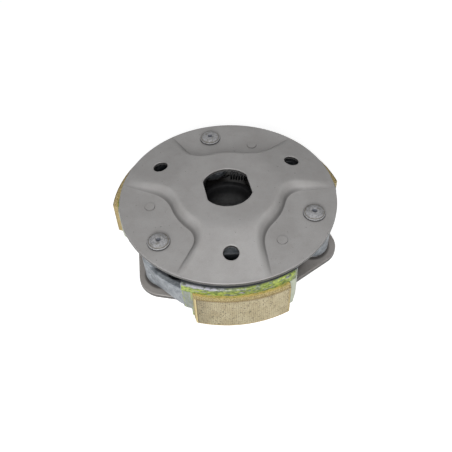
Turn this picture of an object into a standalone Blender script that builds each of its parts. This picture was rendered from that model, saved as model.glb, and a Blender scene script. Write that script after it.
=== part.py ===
"""Three-shoe centrifugal clutch, wet type, as fitted to a small utility vehicle's crankshaft.

A round base plate with three lobes carries a splined hub and three pivot pins. A shoe with a bonded
lining swings on each pin. A domed cover plate with a star pressed into it is riveted over the pins.

Metres, +Z up along the crankshaft's axis. The origin is on that axis, in the hub's lower end face.
The three stations are alike: each is drawn once in its own frame, with the origin on the pivot
axis and +X pointing straight out from the clutch axis, and is then placed three times.
"""

import math

import bmesh
import bpy
from mathutils import Vector
from mathutils.geometry import delaunay_2d_cdt

MM = 0.001

# Clearances
SEAT_GAP = 0.3 * MM
RUNNING_GAP = 0.25 * MM
BOND_GAP = 0.2 * MM
DAMPER_GAP = 0.3 * MM
CUT_THROUGH = 1.0 * MM

# The drum that the shoes run in, and the three stations inside it
DRUM_RADIUS = 70.0 * MM
STATIONS = 3
STATION_STEP_DEG = 360.0 / STATIONS
FIRST_STATION_DEG = 90.0
PIVOT_DEPTH = 18.5 * MM

PIVOT_PITCH_RADIUS = DRUM_RADIUS - PIVOT_DEPTH

# Linings
LINING_THICKNESS = 3.5 * MM
LINING_HEIGHT = 23.0 * MM
LINING_START_DEG = 33.2
LINING_END_DEG = 76.6
LINING_START_SLANT_DEG = 2.0
LINING_END_SLANT_DEG = 1.2

LAND_RADIUS = DRUM_RADIUS - LINING_THICKNESS - BOND_GAP

# Heights, from the hub's lower face
BASE_UNDERSIDE = 3.2 * MM
BASE_THICKNESS = 2.6 * MM
WASHER_THICKNESS = 0.7 * MM
SHOE_BODY_HEIGHT = 23.7 * MM
BOSS_PROUD = 0.4 * MM
ARM_HEIGHT = 17.4 * MM
SKIRT_DROP = 3.8 * MM

BASE_TOP = BASE_UNDERSIDE + BASE_THICKNESS
BOSS_BOTTOM = BASE_TOP + WASHER_THICKNESS + 2 * SEAT_GAP
BODY_TOP = BOSS_BOTTOM + SHOE_BODY_HEIGHT
BOSS_TOP = BODY_TOP + BOSS_PROUD
ARM_TOP = BOSS_BOTTOM + ARM_HEIGHT
SKIRT_BOTTOM = BOSS_BOTTOM - SKIRT_DROP
LINING_TOP = SKIRT_BOTTOM + LINING_HEIGHT
COVER_UNDERSIDE = BOSS_TOP + WASHER_THICKNESS + 2 * SEAT_GAP

# Pivot pins
PIN_RADIUS = 6.0 * MM
PIN_SPIGOT_RADIUS = 4.5 * MM
PIN_HEAD_RADIUS = 6.3 * MM
PIN_HEAD_RIM = 0.8 * MM
PIN_HEAD_RIM_HEIGHT = 0.9 * MM
PIN_HEAD_HEIGHT = 2.3 * MM
PIN_HEAD_DIMPLE_RADIUS = 1.3 * MM
PIN_HEAD_DIMPLE_FLOOR_RADIUS = 0.8 * MM
PIN_HEAD_DIMPLE_DEPTH = 0.8 * MM
PIN_TAIL_RADIUS = 5.9 * MM
PIN_TAIL_HEIGHT = 1.7 * MM
WASHER_RADIUS = 9.5 * MM

# Stop pins and their rubber dampers, where the shoes' tails rest
STOP_INSIDE_PIVOT = 5.7 * MM
STOP_DEG = 88.1
STOP_PIN_RADIUS = 3.0 * MM
STOP_COLLAR_RADIUS = 4.6 * MM
STOP_COLLAR_HEIGHT = 2.0 * MM
DAMPER_WALL = 2.05 * MM

STOP_PITCH_RADIUS = PIVOT_PITCH_RADIUS - STOP_INSIDE_PIVOT
DAMPER_RADIUS = STOP_PIN_RADIUS + SEAT_GAP + DAMPER_WALL

# Shoes. The castings' edges are set in from the land or from the pivots.
ENGAGE_DEG = 1.0
BOSS_RADIUS = 9.9 * MM
BUSH_WALL = 1.0 * MM
COLLAR_RADIUS = 10.5 * MM
COLLAR_START_DEG = 150.0
COLLAR_END_DEG = 360.0
COLLAR_FOOT_RADIUS = 10.2 * MM
COLLAR_FOOT_END_DEG = 385.0
ARM_RISE = 0.2 * MM
ARM_INSIDE_PIVOT = 16.9 * MM
ARM_INNER_END_DEG = 15.0
ARM_EDGE_START_DEG = 8.0
ARM_FOOT_START_DEG = 11.0
ARM_EDGE_END_DEG = 32.0
ARM_EDGE_START_SETBACK = 2.9 * MM
ARM_EDGE_END_SETBACK = 1.1 * MM
ARM_FOOT_START_SETBACK = 5.6 * MM
ARM_FOOT_END_SETBACK = 1.7 * MM
BODY_INSIDE_PIVOT = 17.5 * MM
BODY_INNER_START_DEG = 18.5
BODY_INNER_END_DEG = 60.0
LAND_START_DEG = 25.2
LAND_END_DEG = 81.2
LAND_DRAFT = 1.9 * MM
LAND_DRAFT_END_DEG = 32.0
LAND_LEAN = 0.8 * MM
SKIRT_START_DEG = 30.0
SKIRT_SETBACK = 0.3 * MM
SKIRT_THICKNESS = 5.4 * MM
SKIRT_NOSE_SETBACK_DEG = 0.8
SKIRT_INNER_OVERRUN_DEG = 1.5
NOSE_SETBACK = 3.9 * MM
NOSE_DEG = 84.6
TAIL_END_DEG = 92.0
TAIL_LEAN_DEG = 0.6
TAIL_TIP_DEG = 2.0
TAIL_THICKNESS = 3.4 * MM
TAIL_ROOT_DEG = 77.0
CASTING_CORNER = 2.0 * MM
POCKET_WIDTH = 9.4 * MM
POCKET_DEPTH = 10.0 * MM
POCKET_START_DEG = 17.0
POCKET_START_OUTSIDE_PIVOT = 4.3 * MM
POCKET_END_DEG = 54.0
POCKET_END_INSIDE_PIVOT = 5.7 * MM

BUSH_RADIUS = PIN_RADIUS + RUNNING_GAP + BUSH_WALL
SHOE_BORE_RADIUS = BUSH_RADIUS + SEAT_GAP
ARM_INNER_RADIUS = PIVOT_PITCH_RADIUS - ARM_INSIDE_PIVOT
ARM_EDGE_START_RADIUS = LAND_RADIUS - ARM_EDGE_START_SETBACK
ARM_EDGE_END_RADIUS = LAND_RADIUS - ARM_EDGE_END_SETBACK
ARM_FOOT_START_RADIUS = LAND_RADIUS - ARM_FOOT_START_SETBACK
ARM_FOOT_END_RADIUS = LAND_RADIUS - ARM_FOOT_END_SETBACK
BODY_INNER_RADIUS = PIVOT_PITCH_RADIUS - BODY_INSIDE_PIVOT
NOSE_RADIUS = LAND_RADIUS - NOSE_SETBACK
TAIL_INNER_RADIUS = STOP_PITCH_RADIUS + DAMPER_RADIUS + DAMPER_GAP
POCKET_START_RADIUS = PIVOT_PITCH_RADIUS + POCKET_START_OUTSIDE_PIVOT
POCKET_END_RADIUS = PIVOT_PITCH_RADIUS - POCKET_END_INSIDE_PIVOT

# Return springs: each pulls a shoe's free end towards the next shoe's boss
SPRING_WIRE_RADIUS = 0.6 * MM
SPRING_COIL_RADIUS = 4.0 * MM
SPRING_TURNS = 9
SPRING_MID_HEIGHT = 18.5 * MM
HOOK_RADIUS = 4.0 * MM
HOOK_TO_DAMPER = 0.45 * MM
FREE_LUG_DEG = 70.0
BOSS_LUG_INSIDE_PIVOT = 14.5 * MM
BOSS_LUG_DEG = -2.0
LUG_THICKNESS = 3.0 * MM
LUG_HOLE_RADIUS = 1.4 * MM
LUG_EDGE = 2.9 * MM
FREE_LUG_ROOT_REACH = 6.0 * MM
FREE_LUG_ROOT_LAG_DEG = 8.0
BOSS_LUG_ROOT_DEPTH = 1.5 * MM
HOOK_CLEARANCE = 0.8 * MM
HOOK_RECESS_SLANT = 1.5 * MM
HOOK_SWEEP_DEG = 240.0

FREE_LUG_PITCH_RADIUS = STOP_PITCH_RADIUS - DAMPER_RADIUS - HOOK_TO_DAMPER
BOSS_LUG_PITCH_RADIUS = PIVOT_PITCH_RADIUS - BOSS_LUG_INSIDE_PIVOT

# Base plate: a disc inside the shoes' skirts, with a round lobe under each pivot, set a little
# towards the shoe's arm
SKIRT_CLEARANCE = 4.4 * MM
BASE_LOBE_RADIUS = 14.8 * MM
BASE_LOBE_LEAD_DEG = 0.9

BASE_DISC_RADIUS = LAND_RADIUS - SKIRT_SETBACK - SKIRT_THICKNESS - SKIRT_CLEARANCE

# Hub
SPLINE_TEETH = 20
SPLINE_MINOR_RADIUS = 10.0 * MM
SPLINE_MAJOR_RADIUS = 11.3 * MM
SPLINE_LENGTH = 9.5 * MM
SPLINE_ROOT_SHARE = 0.17
SPLINE_TIP_SHARE = 0.28
HUB_BORE_RADIUS = 15.0 * MM
HUB_WALL = 4.0 * MM
HUB_TUBE_HEIGHT = 17.9 * MM
HUB_FLANGE_WIDTH = 6.0 * MM
HUB_CHAMFER = 0.7 * MM
WELD_LEG = 2.4 * MM

HUB_RADIUS = HUB_BORE_RADIUS + HUB_WALL
HUB_FLANGE_RADIUS = HUB_RADIUS + HUB_FLANGE_WIDTH
HUB_FLANGE_TOP = BASE_UNDERSIDE - SEAT_GAP
HUB_TOP = SPLINE_LENGTH + HUB_TUBE_HEIGHT

# Cover plate. The star's flanks pass inside the rivets.
COVER_SETBACK = 6.5 * MM
COVER_THICKNESS = 2.0 * MM
STAR_HEIGHT = 6.9 * MM
PLATEAU_INSIDE_PIVOT = 20.5 * MM
STAR_FOOT_SETBACK = 0.7 * MM
PANEL_FAR_CORNER_INSIDE_PIVOT = 15.5 * MM
PANEL_FAR_CORNER_DEG = -40.1
PANEL_MIDDLE_INSIDE_PIVOT = 16.5 * MM
PANEL_MIDDLE_DEG = -8.6
PANEL_NEAR_CORNER_INSIDE_PIVOT = 16.0 * MM
PANEL_NEAR_CORNER_DEG = 19.9
PANEL_FAR_END_DEG = -52.0
PANEL_NEAR_END_DEG = 21.5
PANEL_CORNER_REACH = 9.3 * MM
STEP_RUN = 5.2 * MM
STEP_LINES = (0.0, 0.3, 0.6, 1.0)
STAR_LINE_HALF_DEG = 18.0
STAR_FOOT_HALF_DEG = 21.0
KEY_HOLE_RADIUS = 15.0 * MM
KEY_HOLE_HALF_FLATS = 13.0 * MM
LOBE_HOLE_RADIUS = 4.35 * MM
LOBE_HOLE_INSIDE_PIVOT = 5.7 * MM
LOBE_HOLE_DEG = 49.8
BUMP_RADIUS = 3.0 * MM
BUMP_HEIGHT = 0.5 * MM
BUMP_SINK = 0.5 * MM
RECESS_DEPTH = 1.0 * MM

COVER_TOP = COVER_UNDERSIDE + COVER_THICKNESS
COVER_RADIUS = DRUM_RADIUS - COVER_SETBACK
STAR_FOOT_RADIUS = COVER_RADIUS - STAR_FOOT_SETBACK
PLATEAU_RADIUS = PIVOT_PITCH_RADIUS - PLATEAU_INSIDE_PIVOT
PANEL_FAR_CORNER_RADIUS = PIVOT_PITCH_RADIUS - PANEL_FAR_CORNER_INSIDE_PIVOT
PANEL_MIDDLE_RADIUS = PIVOT_PITCH_RADIUS - PANEL_MIDDLE_INSIDE_PIVOT
PANEL_NEAR_CORNER_RADIUS = PIVOT_PITCH_RADIUS - PANEL_NEAR_CORNER_INSIDE_PIVOT
LOBE_HOLE_PITCH_RADIUS = PIVOT_PITCH_RADIUS - LOBE_HOLE_INSIDE_PIVOT

# How round things are faceted
TINY_ROUND_SIDES = 12
SMALL_ROUND_SIDES = 24
ROUND_SIDES = 48
LARGE_ROUND_SIDES = 96
ARC_STEP_DEG = 3.0
COARSE_ARC_STEP_DEG = 6.0
TINY_ARC_STEP_DEG = 20.0
COVER_SPACING = 4.0 * MM
COLLAR_STEPS = 15
ARM_EDGE_STEPS = 4
POCKET_STEPS = 12
WIRE_SIDES = 5
COIL_SIDES = 8
HOOK_STEPS = 8
SHARP_EDGE_DEG = 30.0


# Points and outlines


def polar(radius, deg, centre=(0.0, 0.0)):
    angle = math.radians(deg)
    return (centre[0] + radius * math.cos(angle), centre[1] + radius * math.sin(angle))


def in_station(radius, deg):
    """A point given from the clutch axis, in a station's own frame."""
    return polar(radius, deg, (-PIVOT_PITCH_RADIUS, 0.0))


def drum_centre():
    """The drum's centre as the resting shoe sees it: a shoe swings in by ENGAGE_DEG from the drum."""
    return polar(PIVOT_PITCH_RADIUS, 180.0 + ENGAGE_DEG)


def arc(radius, start_deg, end_deg, centre=(0.0, 0.0), step_deg=ARC_STEP_DEG):
    count = max(1, math.ceil(abs(end_deg - start_deg) / step_deg - 1e-6))
    return [
        polar(radius, start_deg + (end_deg - start_deg) * i / count, centre)
        for i in range(count + 1)
    ]


def collar_arc(radius, end_deg):
    """An arc about the boss. It has the same number of points at the arm's top and at its foot."""
    return [
        polar(radius, COLLAR_START_DEG + (end_deg - COLLAR_START_DEG) * i / COLLAR_STEPS)
        for i in range(COLLAR_STEPS + 1)
    ]


def circle(radius, centre=(0.0, 0.0), sides=SMALL_ROUND_SIDES):
    return [polar(radius, 360.0 * i / sides, centre) for i in range(sides)]


def rounded(points, radius, segments=4):
    """An open run of points with each inner corner turned into a short arc-like curve."""
    out = [points[0]]
    for before, corner, after in zip(points, points[1:], points[2:]):
        corner_v = Vector(corner)
        back = Vector(before) - corner_v
        on = Vector(after) - corner_v
        reach = min(radius, back.length / 2, on.length / 2)
        start = corner_v + back.normalized() * reach
        end = corner_v + on.normalized() * reach
        for i in range(segments + 1):
            t = i / segments
            point = start * (1 - t) ** 2 + corner_v * 2 * t * (1 - t) + end * t**2
            out.append((point.x, point.y))
    return out + [points[-1]]


# Meshes


def finish_mesh(bm, name, sharp_edge_deg=SHARP_EDGE_DEG):
    bmesh.ops.recalc_face_normals(bm, faces=bm.faces)
    mesh = bpy.data.meshes.new(name)
    bm.to_mesh(mesh)
    bm.free()
    mesh.shade_smooth()
    mesh.set_sharp_from_angle(angle=math.radians(sharp_edge_deg))
    return mesh


def add_layers(bm, *layers):
    """A closed solid through (outline, height) layers from the bottom up, alike in their points."""
    rings = [[bm.verts.new((x, y, height)) for x, y in outline] for outline, height in layers]
    bm.faces.new(rings[0][::-1])
    bm.faces.new(rings[-1])
    for low, high in zip(rings, rings[1:]):
        for i in range(len(low)):
            j = (i + 1) % len(low)
            bm.faces.new((low[i], low[j], high[j], high[i]))


def prisms(name, *solids):
    """A mesh of separate closed prisms, each (outline, bottom, top)."""
    bm = bmesh.new()
    for outline, bottom, top in solids:
        add_layers(bm, (outline, bottom), (outline, top))
    return finish_mesh(bm, name)


def layered(name, *layers):
    """A mesh of one solid that changes its outline with height."""
    bm = bmesh.new()
    add_layers(bm, *layers)
    return finish_mesh(bm, name)


def turned(name, profile, sides=SMALL_ROUND_SIDES):
    """A closed profile of (radius, height) points turned about Z. Points on the axis are merged."""
    bm = bmesh.new()
    verts = [bm.verts.new((r, 0.0, z)) for r, z in profile]
    edges = [
        bm.edges.new((a, b))
        for a, b in zip(verts, verts[1:] + verts[:1])
        if a.co.x > 0 or b.co.x > 0
    ]
    bmesh.ops.spin(
        bm,
        geom=verts + edges,
        cent=(0, 0, 0),
        axis=(0, 0, 1),
        angle=2 * math.pi,
        steps=sides,
        use_merge=True,
    )
    bmesh.ops.remove_doubles(bm, verts=bm.verts, dist=1e-6)
    return finish_mesh(bm, name)


def combined(name, base_mesh, other_mesh, operation):
    """The two meshes joined by an exact Boolean, as a new mesh."""
    base = bpy.data.objects.new(name, base_mesh)
    other = bpy.data.objects.new(name + "_cutter", other_mesh)
    for obj in (base, other):
        bpy.context.collection.objects.link(obj)
    modifier = base.modifiers.new("join", "BOOLEAN")
    modifier.operation = operation
    modifier.solver = "EXACT"
    modifier.object = other
    graph = bpy.context.evaluated_depsgraph_get()
    result = bpy.data.meshes.new_from_object(base.evaluated_get(graph))
    bpy.data.objects.remove(base)
    bpy.data.objects.remove(other)
    result.name = name
    result.shade_smooth()
    result.set_sharp_from_angle(angle=math.radians(SHARP_EDGE_DEG))
    return result


# Base plate and hub


def base_plate_outline():
    """The disc and its lobes, joined by their common tangents."""
    tangent_deg = math.degrees(
        math.acos((BASE_DISC_RADIUS - BASE_LOBE_RADIUS) / PIVOT_PITCH_RADIUS)
    )
    points = []
    for station in range(STATIONS):
        facing = FIRST_STATION_DEG + station * STATION_STEP_DEG + BASE_LOBE_LEAD_DEG
        lobe = polar(PIVOT_PITCH_RADIUS, facing)
        points += arc(
            BASE_LOBE_RADIUS,
            facing - tangent_deg,
            facing + tangent_deg,
            lobe,
            COARSE_ARC_STEP_DEG,
        )
        points += arc(
            BASE_DISC_RADIUS,
            facing + tangent_deg,
            facing + STATION_STEP_DEG - tangent_deg,
        )
    return points


def base_plate_mesh():
    plate = prisms("base_plate", (base_plate_outline(), BASE_UNDERSIDE, BASE_TOP))
    cut = (BASE_UNDERSIDE - CUT_THROUGH, BASE_TOP + CUT_THROUGH)
    holes = [(circle(HUB_RADIUS + SEAT_GAP, sides=ROUND_SIDES), *cut)]
    for station in range(STATIONS):
        facing = FIRST_STATION_DEG + station * STATION_STEP_DEG
        pivot = polar(PIVOT_PITCH_RADIUS, facing)
        stop = polar(STOP_PITCH_RADIUS, facing + STOP_DEG)
        holes.append((circle(PIN_SPIGOT_RADIUS + SEAT_GAP, pivot), *cut))
        holes.append((circle(STOP_PIN_RADIUS + SEAT_GAP, stop), *cut))
    return combined("base_plate", plate, prisms("base_holes", *holes), "DIFFERENCE")


def spline_outline():
    """Straight-sided internal spline."""
    pitch = 360.0 / SPLINE_TEETH
    points = []
    for tooth in range(SPLINE_TEETH):
        at = tooth * pitch
        points += [
            polar(SPLINE_MINOR_RADIUS, at - pitch * SPLINE_TIP_SHARE),
            polar(SPLINE_MAJOR_RADIUS, at - pitch * SPLINE_ROOT_SHARE),
            polar(SPLINE_MAJOR_RADIUS, at + pitch * SPLINE_ROOT_SHARE),
            polar(SPLINE_MINOR_RADIUS, at + pitch * SPLINE_TIP_SHARE),
        ]
    return points


def hub_mesh():
    """Splined at its lower end, with an open tube above, and welded to the base plate all round."""
    blank_bore = SPLINE_MINOR_RADIUS - CUT_THROUGH
    profile = [
        (blank_bore, 0.0),
        (HUB_FLANGE_RADIUS - HUB_CHAMFER, 0.0),
        (HUB_FLANGE_RADIUS, HUB_CHAMFER),
        (HUB_FLANGE_RADIUS, HUB_FLANGE_TOP),
        (HUB_RADIUS, HUB_FLANGE_TOP),
        (HUB_RADIUS, BASE_TOP + SEAT_GAP),
        (HUB_RADIUS + WELD_LEG, BASE_TOP + SEAT_GAP),
        (HUB_RADIUS, BASE_TOP + SEAT_GAP + WELD_LEG),
        (HUB_RADIUS, HUB_TOP - HUB_CHAMFER),
        (HUB_RADIUS - HUB_CHAMFER, HUB_TOP),
        (HUB_BORE_RADIUS + HUB_CHAMFER, HUB_TOP),
        (HUB_BORE_RADIUS, HUB_TOP - HUB_CHAMFER),
        (HUB_BORE_RADIUS, SPLINE_LENGTH),
        (blank_bore, SPLINE_LENGTH),
    ]
    blank = turned("hub", profile, ROUND_SIDES)
    cutter = prisms(
        "spline", (spline_outline(), -CUT_THROUGH, SPLINE_LENGTH + CUT_THROUGH)
    )
    return combined("hub", blank, cutter, "DIFFERENCE")


# Cover plate


def panel_edge():
    """The foot of the star round a flat panel, as an open run, in a frame that faces its rivet."""
    beyond_rim = COVER_RADIUS + STEP_RUN
    run = rounded(
        [
            polar(beyond_rim, PANEL_FAR_END_DEG),
            polar(PANEL_FAR_CORNER_RADIUS, PANEL_FAR_CORNER_DEG),
            polar(PANEL_MIDDLE_RADIUS, PANEL_MIDDLE_DEG),
            polar(PANEL_NEAR_CORNER_RADIUS, PANEL_NEAR_CORNER_DEG),
            polar(beyond_rim, PANEL_NEAR_END_DEG),
        ],
        PANEL_CORNER_REACH,
        5,
    )
    return divided(run, COVER_SPACING)


def divided(points, spacing):
    """The same run of points with long straights cut into shorter ones."""
    out = [points[0]]
    for a, b in zip(points, points[1:]):
        count = max(1, round(math.dist(a, b) / spacing))
        for i in range(1, count + 1):
            out.append((a[0] + (b[0] - a[0]) * i / count, a[1] + (b[1] - a[1]) * i / count))
    return out


def beside(points, distance):
    """The run moved to its left by a distance."""
    out = []
    for i, (x, y) in enumerate(points):
        before = points[max(i - 1, 0)]
        after = points[min(i + 1, len(points) - 1)]
        dx, dy = after[0] - before[0], after[1] - before[1]
        length = math.hypot(dx, dy)
        out.append((x - dy / length * distance, y + dx / length * distance))
    return out


def from_panel(x, y, edge):
    """Distance out from a panel's edge into the star, and 0 on the panel itself."""
    nearest = math.inf
    crossings = 0
    for (ax, ay), (bx, by) in zip(edge, edge[1:]):
        dx, dy = bx - ax, by - ay
        share = ((x - ax) * dx + (y - ay) * dy) / (dx * dx + dy * dy)
        share = min(1.0, max(0.0, share))
        nearest = min(nearest, math.hypot(x - ax - dx * share, y - ay - dy * share))
        if (ay > y) != (by > y) and ax + dx * (y - ay) / dy < x:
            crossings += 1
    on_panel = crossings % 2 == 1
    return 0.0 if on_panel else nearest


def star_height(x, y, edge):
    """Height of the pressed star above the flat panels at a point of the cover."""
    radius = math.hypot(x, y)
    nearest = math.inf
    for station in range(STATIONS):
        facing = math.radians(FIRST_STATION_DEG + station * STATION_STEP_DEG)
        across = x * math.cos(facing) + y * math.sin(facing)
        along = y * math.cos(facing) - x * math.sin(facing)
        nearest = min(nearest, from_panel(across, along, edge))
    slope = (STAR_FOOT_RADIUS - radius) / (STAR_FOOT_RADIUS - PLATEAU_RADIUS)
    full = STAR_HEIGHT * min(1.0, max(0.0, slope))
    return full * math.sin(min(1.0, nearest / STEP_RUN) * math.pi / 2)


def steepness(x, y, edge):
    """How much longer a plumb line through the sheet is than the sheet's thickness."""
    if star_height(x, y, edge) == 0.0:
        return 1.0
    reach = 0.1 * MM
    rise_x = star_height(x + reach, y, edge) - star_height(x - reach, y, edge)
    rise_y = star_height(x, y + reach, edge) - star_height(x, y - reach, edge)
    return math.hypot(1.0, rise_x / (2 * reach), rise_y / (2 * reach))


def cover_plan():
    """The cover in plan, cut into triangles that follow the rim, the holes and the star's flanks."""
    points, edges = [], []

    def add_run(run, closed):
        first = len(points)
        points.extend(Vector(point) for point in run)
        edges.extend((first + i, first + i + 1) for i in range(len(run) - 1))
        if closed:
            edges.append((first + len(run) - 1, first))

    rim = circle(COVER_RADIUS, sides=LARGE_ROUND_SIDES)
    holes = cover_holes()
    for outline in [rim, *holes]:
        add_run(outline, True)
    for station in range(STATIONS):
        facing = FIRST_STATION_DEG + station * STATION_STEP_DEG
        for share in STEP_LINES:
            flank = beside(panel_edge(), STEP_RUN * share)
            turned_flank = [
                polar(math.hypot(x, y), facing + math.degrees(math.atan2(y, x)))
                for x, y in flank
            ]
            add_run(turned_flank, False)
        lobe = facing + (PANEL_NEAR_END_DEG + PANEL_FAR_END_DEG + STATION_STEP_DEG) / 2
        for radius, half_deg in (
            (PLATEAU_RADIUS, STAR_LINE_HALF_DEG),
            ((PLATEAU_RADIUS + STAR_FOOT_RADIUS) / 2, STAR_LINE_HALF_DEG),
            (STAR_FOOT_RADIUS, STAR_FOOT_HALF_DEG),
        ):
            line = arc(radius, lobe - half_deg, lobe + half_deg, step_deg=COARSE_ARC_STEP_DEG)
            add_run(line, False)
    found = delaunay_2d_cdt(points, edges, [], 0, 1e-7, False)
    corners, triangles = found[0], found[2]
    kept = []
    for triangle in triangles:
        middle = sum((corners[i] for i in triangle), Vector((0.0, 0.0))) / 3
        if inside(middle, rim) and not any(inside(middle, hole) for hole in holes):
            kept.append(triangle)
    return corners, kept


def inside(point, outline):
    x, y = point
    crossings = 0
    for (ax, ay), (bx, by) in zip(outline, outline[1:] + outline[:1]):
        if (ay > y) != (by > y) and ax + (bx - ax) * (y - ay) / (by - ay) < x:
            crossings += 1
    return crossings % 2 == 1


def pressed_sheet():
    """The plan raised to the star's height, and given its thickness."""
    corners, triangles = cover_plan()
    edge = panel_edge()
    bm = bmesh.new()
    top, low = {}, {}
    for i in sorted({i for triangle in triangles for i in triangle}):
        x, y = corners[i]
        height = COVER_TOP + star_height(x, y, edge)
        depth = COVER_THICKNESS * steepness(x, y, edge)
        top[i] = bm.verts.new((x, y, height))
        low[i] = bm.verts.new((x, y, max(COVER_UNDERSIDE, height - depth)))
    sides = set()
    for a, b, c in triangles:
        bm.faces.new((top[a], top[b], top[c]))
        bm.faces.new((low[c], low[b], low[a]))
        sides |= {(a, b), (b, c), (c, a)}
    for a, b in sides:
        if (b, a) not in sides:
            bm.faces.new((top[b], top[a], low[a], low[b]))
    return finish_mesh(bm, "cover_plate")


def key_hole_outline():
    """A round hole with two flats across X."""
    corner = math.degrees(math.acos(KEY_HOLE_HALF_FLATS / KEY_HOLE_RADIUS))
    far = arc(KEY_HOLE_RADIUS, corner, 180.0 - corner, step_deg=COARSE_ARC_STEP_DEG)
    near = [(-x, -y) for x, y in far]
    return far + near


def cover_holes():
    holes = [key_hole_outline()]
    for station in range(STATIONS):
        facing = FIRST_STATION_DEG + station * STATION_STEP_DEG
        pivot = polar(PIVOT_PITCH_RADIUS, facing)
        lobe = polar(LOBE_HOLE_PITCH_RADIUS, facing + LOBE_HOLE_DEG)
        holes.append(circle(PIN_SPIGOT_RADIUS + SEAT_GAP, pivot))
        holes.append(circle(LOBE_HOLE_RADIUS, lobe))
    return holes


def cover_plate_mesh():
    """The pressed sheet, with a half-shear over each stop pin: a bump above and a recess below."""
    bumps, recesses = [], []
    for station in range(STATIONS):
        facing = FIRST_STATION_DEG + station * STATION_STEP_DEG
        stop = polar(STOP_PITCH_RADIUS, facing + STOP_DEG)
        bump = circle(BUMP_RADIUS, stop)
        recess = circle(STOP_PIN_RADIUS + SEAT_GAP, stop)
        recess_top = COVER_UNDERSIDE + RECESS_DEPTH
        bumps.append((bump, COVER_TOP - BUMP_SINK, COVER_TOP + BUMP_HEIGHT))
        recesses.append((recess, COVER_UNDERSIDE - CUT_THROUGH, recess_top))
    raised = combined("cover_plate", pressed_sheet(), prisms("bumps", *bumps), "UNION")
    return combined("cover_plate", raised, prisms("recesses", *recesses), "DIFFERENCE")


# Pieces on the pivot


def pivot_pin_mesh():
    """Shouldered between the plates, and riveted over outside both."""
    tail_top = BASE_UNDERSIDE - SEAT_GAP
    tail_bottom = tail_top - PIN_TAIL_HEIGHT
    head_bottom = COVER_TOP + SEAT_GAP
    head_top = head_bottom + PIN_HEAD_HEIGHT
    profile = [
        (0.0, tail_bottom),
        (PIN_SPIGOT_RADIUS, tail_bottom),
        (PIN_TAIL_RADIUS, tail_top - PIN_TAIL_HEIGHT / 2),
        (PIN_TAIL_RADIUS, tail_top),
        (PIN_SPIGOT_RADIUS, tail_top),
        (PIN_SPIGOT_RADIUS, BASE_TOP + SEAT_GAP),
        (PIN_RADIUS, BASE_TOP + SEAT_GAP),
        (PIN_RADIUS, COVER_UNDERSIDE - SEAT_GAP),
        (PIN_SPIGOT_RADIUS, COVER_UNDERSIDE - SEAT_GAP),
        (PIN_SPIGOT_RADIUS, head_bottom),
        (PIN_HEAD_RADIUS, head_bottom),
        (PIN_HEAD_RADIUS, head_bottom + PIN_HEAD_RIM_HEIGHT),
        (PIN_HEAD_RADIUS - PIN_HEAD_RIM, head_bottom + PIN_HEAD_HEIGHT / 2),
        (PIN_SPIGOT_RADIUS, head_top - PIN_HEAD_RIM / 2),
        (PIN_SPIGOT_RADIUS - 2 * PIN_HEAD_RIM, head_top),
        (PIN_HEAD_DIMPLE_RADIUS, head_top),
        (PIN_HEAD_DIMPLE_FLOOR_RADIUS, head_top - PIN_HEAD_DIMPLE_DEPTH),
        (0.0, head_top - PIN_HEAD_DIMPLE_DEPTH),
    ]
    return turned("pivot_pin", profile)


def ring_mesh(name, inner, outer, bottom, top, sides=SMALL_ROUND_SIDES):
    return turned(
        name, [(inner, bottom), (outer, bottom), (outer, top), (inner, top)], sides
    )


def lower_washer_mesh():
    bottom = BASE_TOP + SEAT_GAP
    return ring_mesh(
        "lower_washer",
        PIN_RADIUS + RUNNING_GAP,
        WASHER_RADIUS,
        bottom,
        bottom + WASHER_THICKNESS,
    )


def upper_washer_mesh():
    bottom = BOSS_TOP + SEAT_GAP
    return ring_mesh(
        "upper_washer",
        PIN_RADIUS + RUNNING_GAP,
        WASHER_RADIUS,
        bottom,
        bottom + WASHER_THICKNESS,
    )


def bush_mesh():
    return ring_mesh(
        "bush", PIN_RADIUS + RUNNING_GAP, BUSH_RADIUS, BOSS_BOTTOM, BOSS_TOP
    )


# Shoe and lining


def arm_outline(foot):
    """The collar about the boss, and the arm that leaves it. Its foot is drawn in by the draft."""
    if foot:
        collar = collar_arc(COLLAR_FOOT_RADIUS, COLLAR_FOOT_END_DEG)
        start = (ARM_FOOT_START_RADIUS, ARM_FOOT_START_DEG)
        end = (ARM_FOOT_END_RADIUS, ARM_EDGE_END_DEG)
    else:
        collar = collar_arc(COLLAR_RADIUS, COLLAR_END_DEG)
        start = (ARM_EDGE_START_RADIUS, ARM_EDGE_START_DEG)
        end = (ARM_EDGE_END_RADIUS, ARM_EDGE_END_DEG)
    edge = []
    for i in range(ARM_EDGE_STEPS + 1):
        share = i / ARM_EDGE_STEPS
        radius = start[0] + (end[0] - start[0]) * share
        deg = start[1] + (end[1] - start[1]) * share
        edge.append(in_station(radius, deg))
    inner = arc(
        ARM_INNER_RADIUS,
        ARM_EDGE_END_DEG,
        ARM_INNER_END_DEG,
        (-PIVOT_PITCH_RADIUS, 0.0),
        COARSE_ARC_STEP_DEG,
    )
    return collar + edge + inner


def free_end(land_end):
    """The nose beyond the land, and the tail that rests on the damper."""
    return rounded(
        [
            land_end,
            in_station(NOSE_RADIUS, NOSE_DEG),
            in_station(TAIL_INNER_RADIUS + TAIL_THICKNESS, TAIL_END_DEG - TAIL_LEAN_DEG),
            in_station(TAIL_INNER_RADIUS, TAIL_END_DEG),
            in_station(TAIL_INNER_RADIUS, TAIL_END_DEG - TAIL_TIP_DEG),
        ],
        CASTING_CORNER,
        3,
    )


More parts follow.
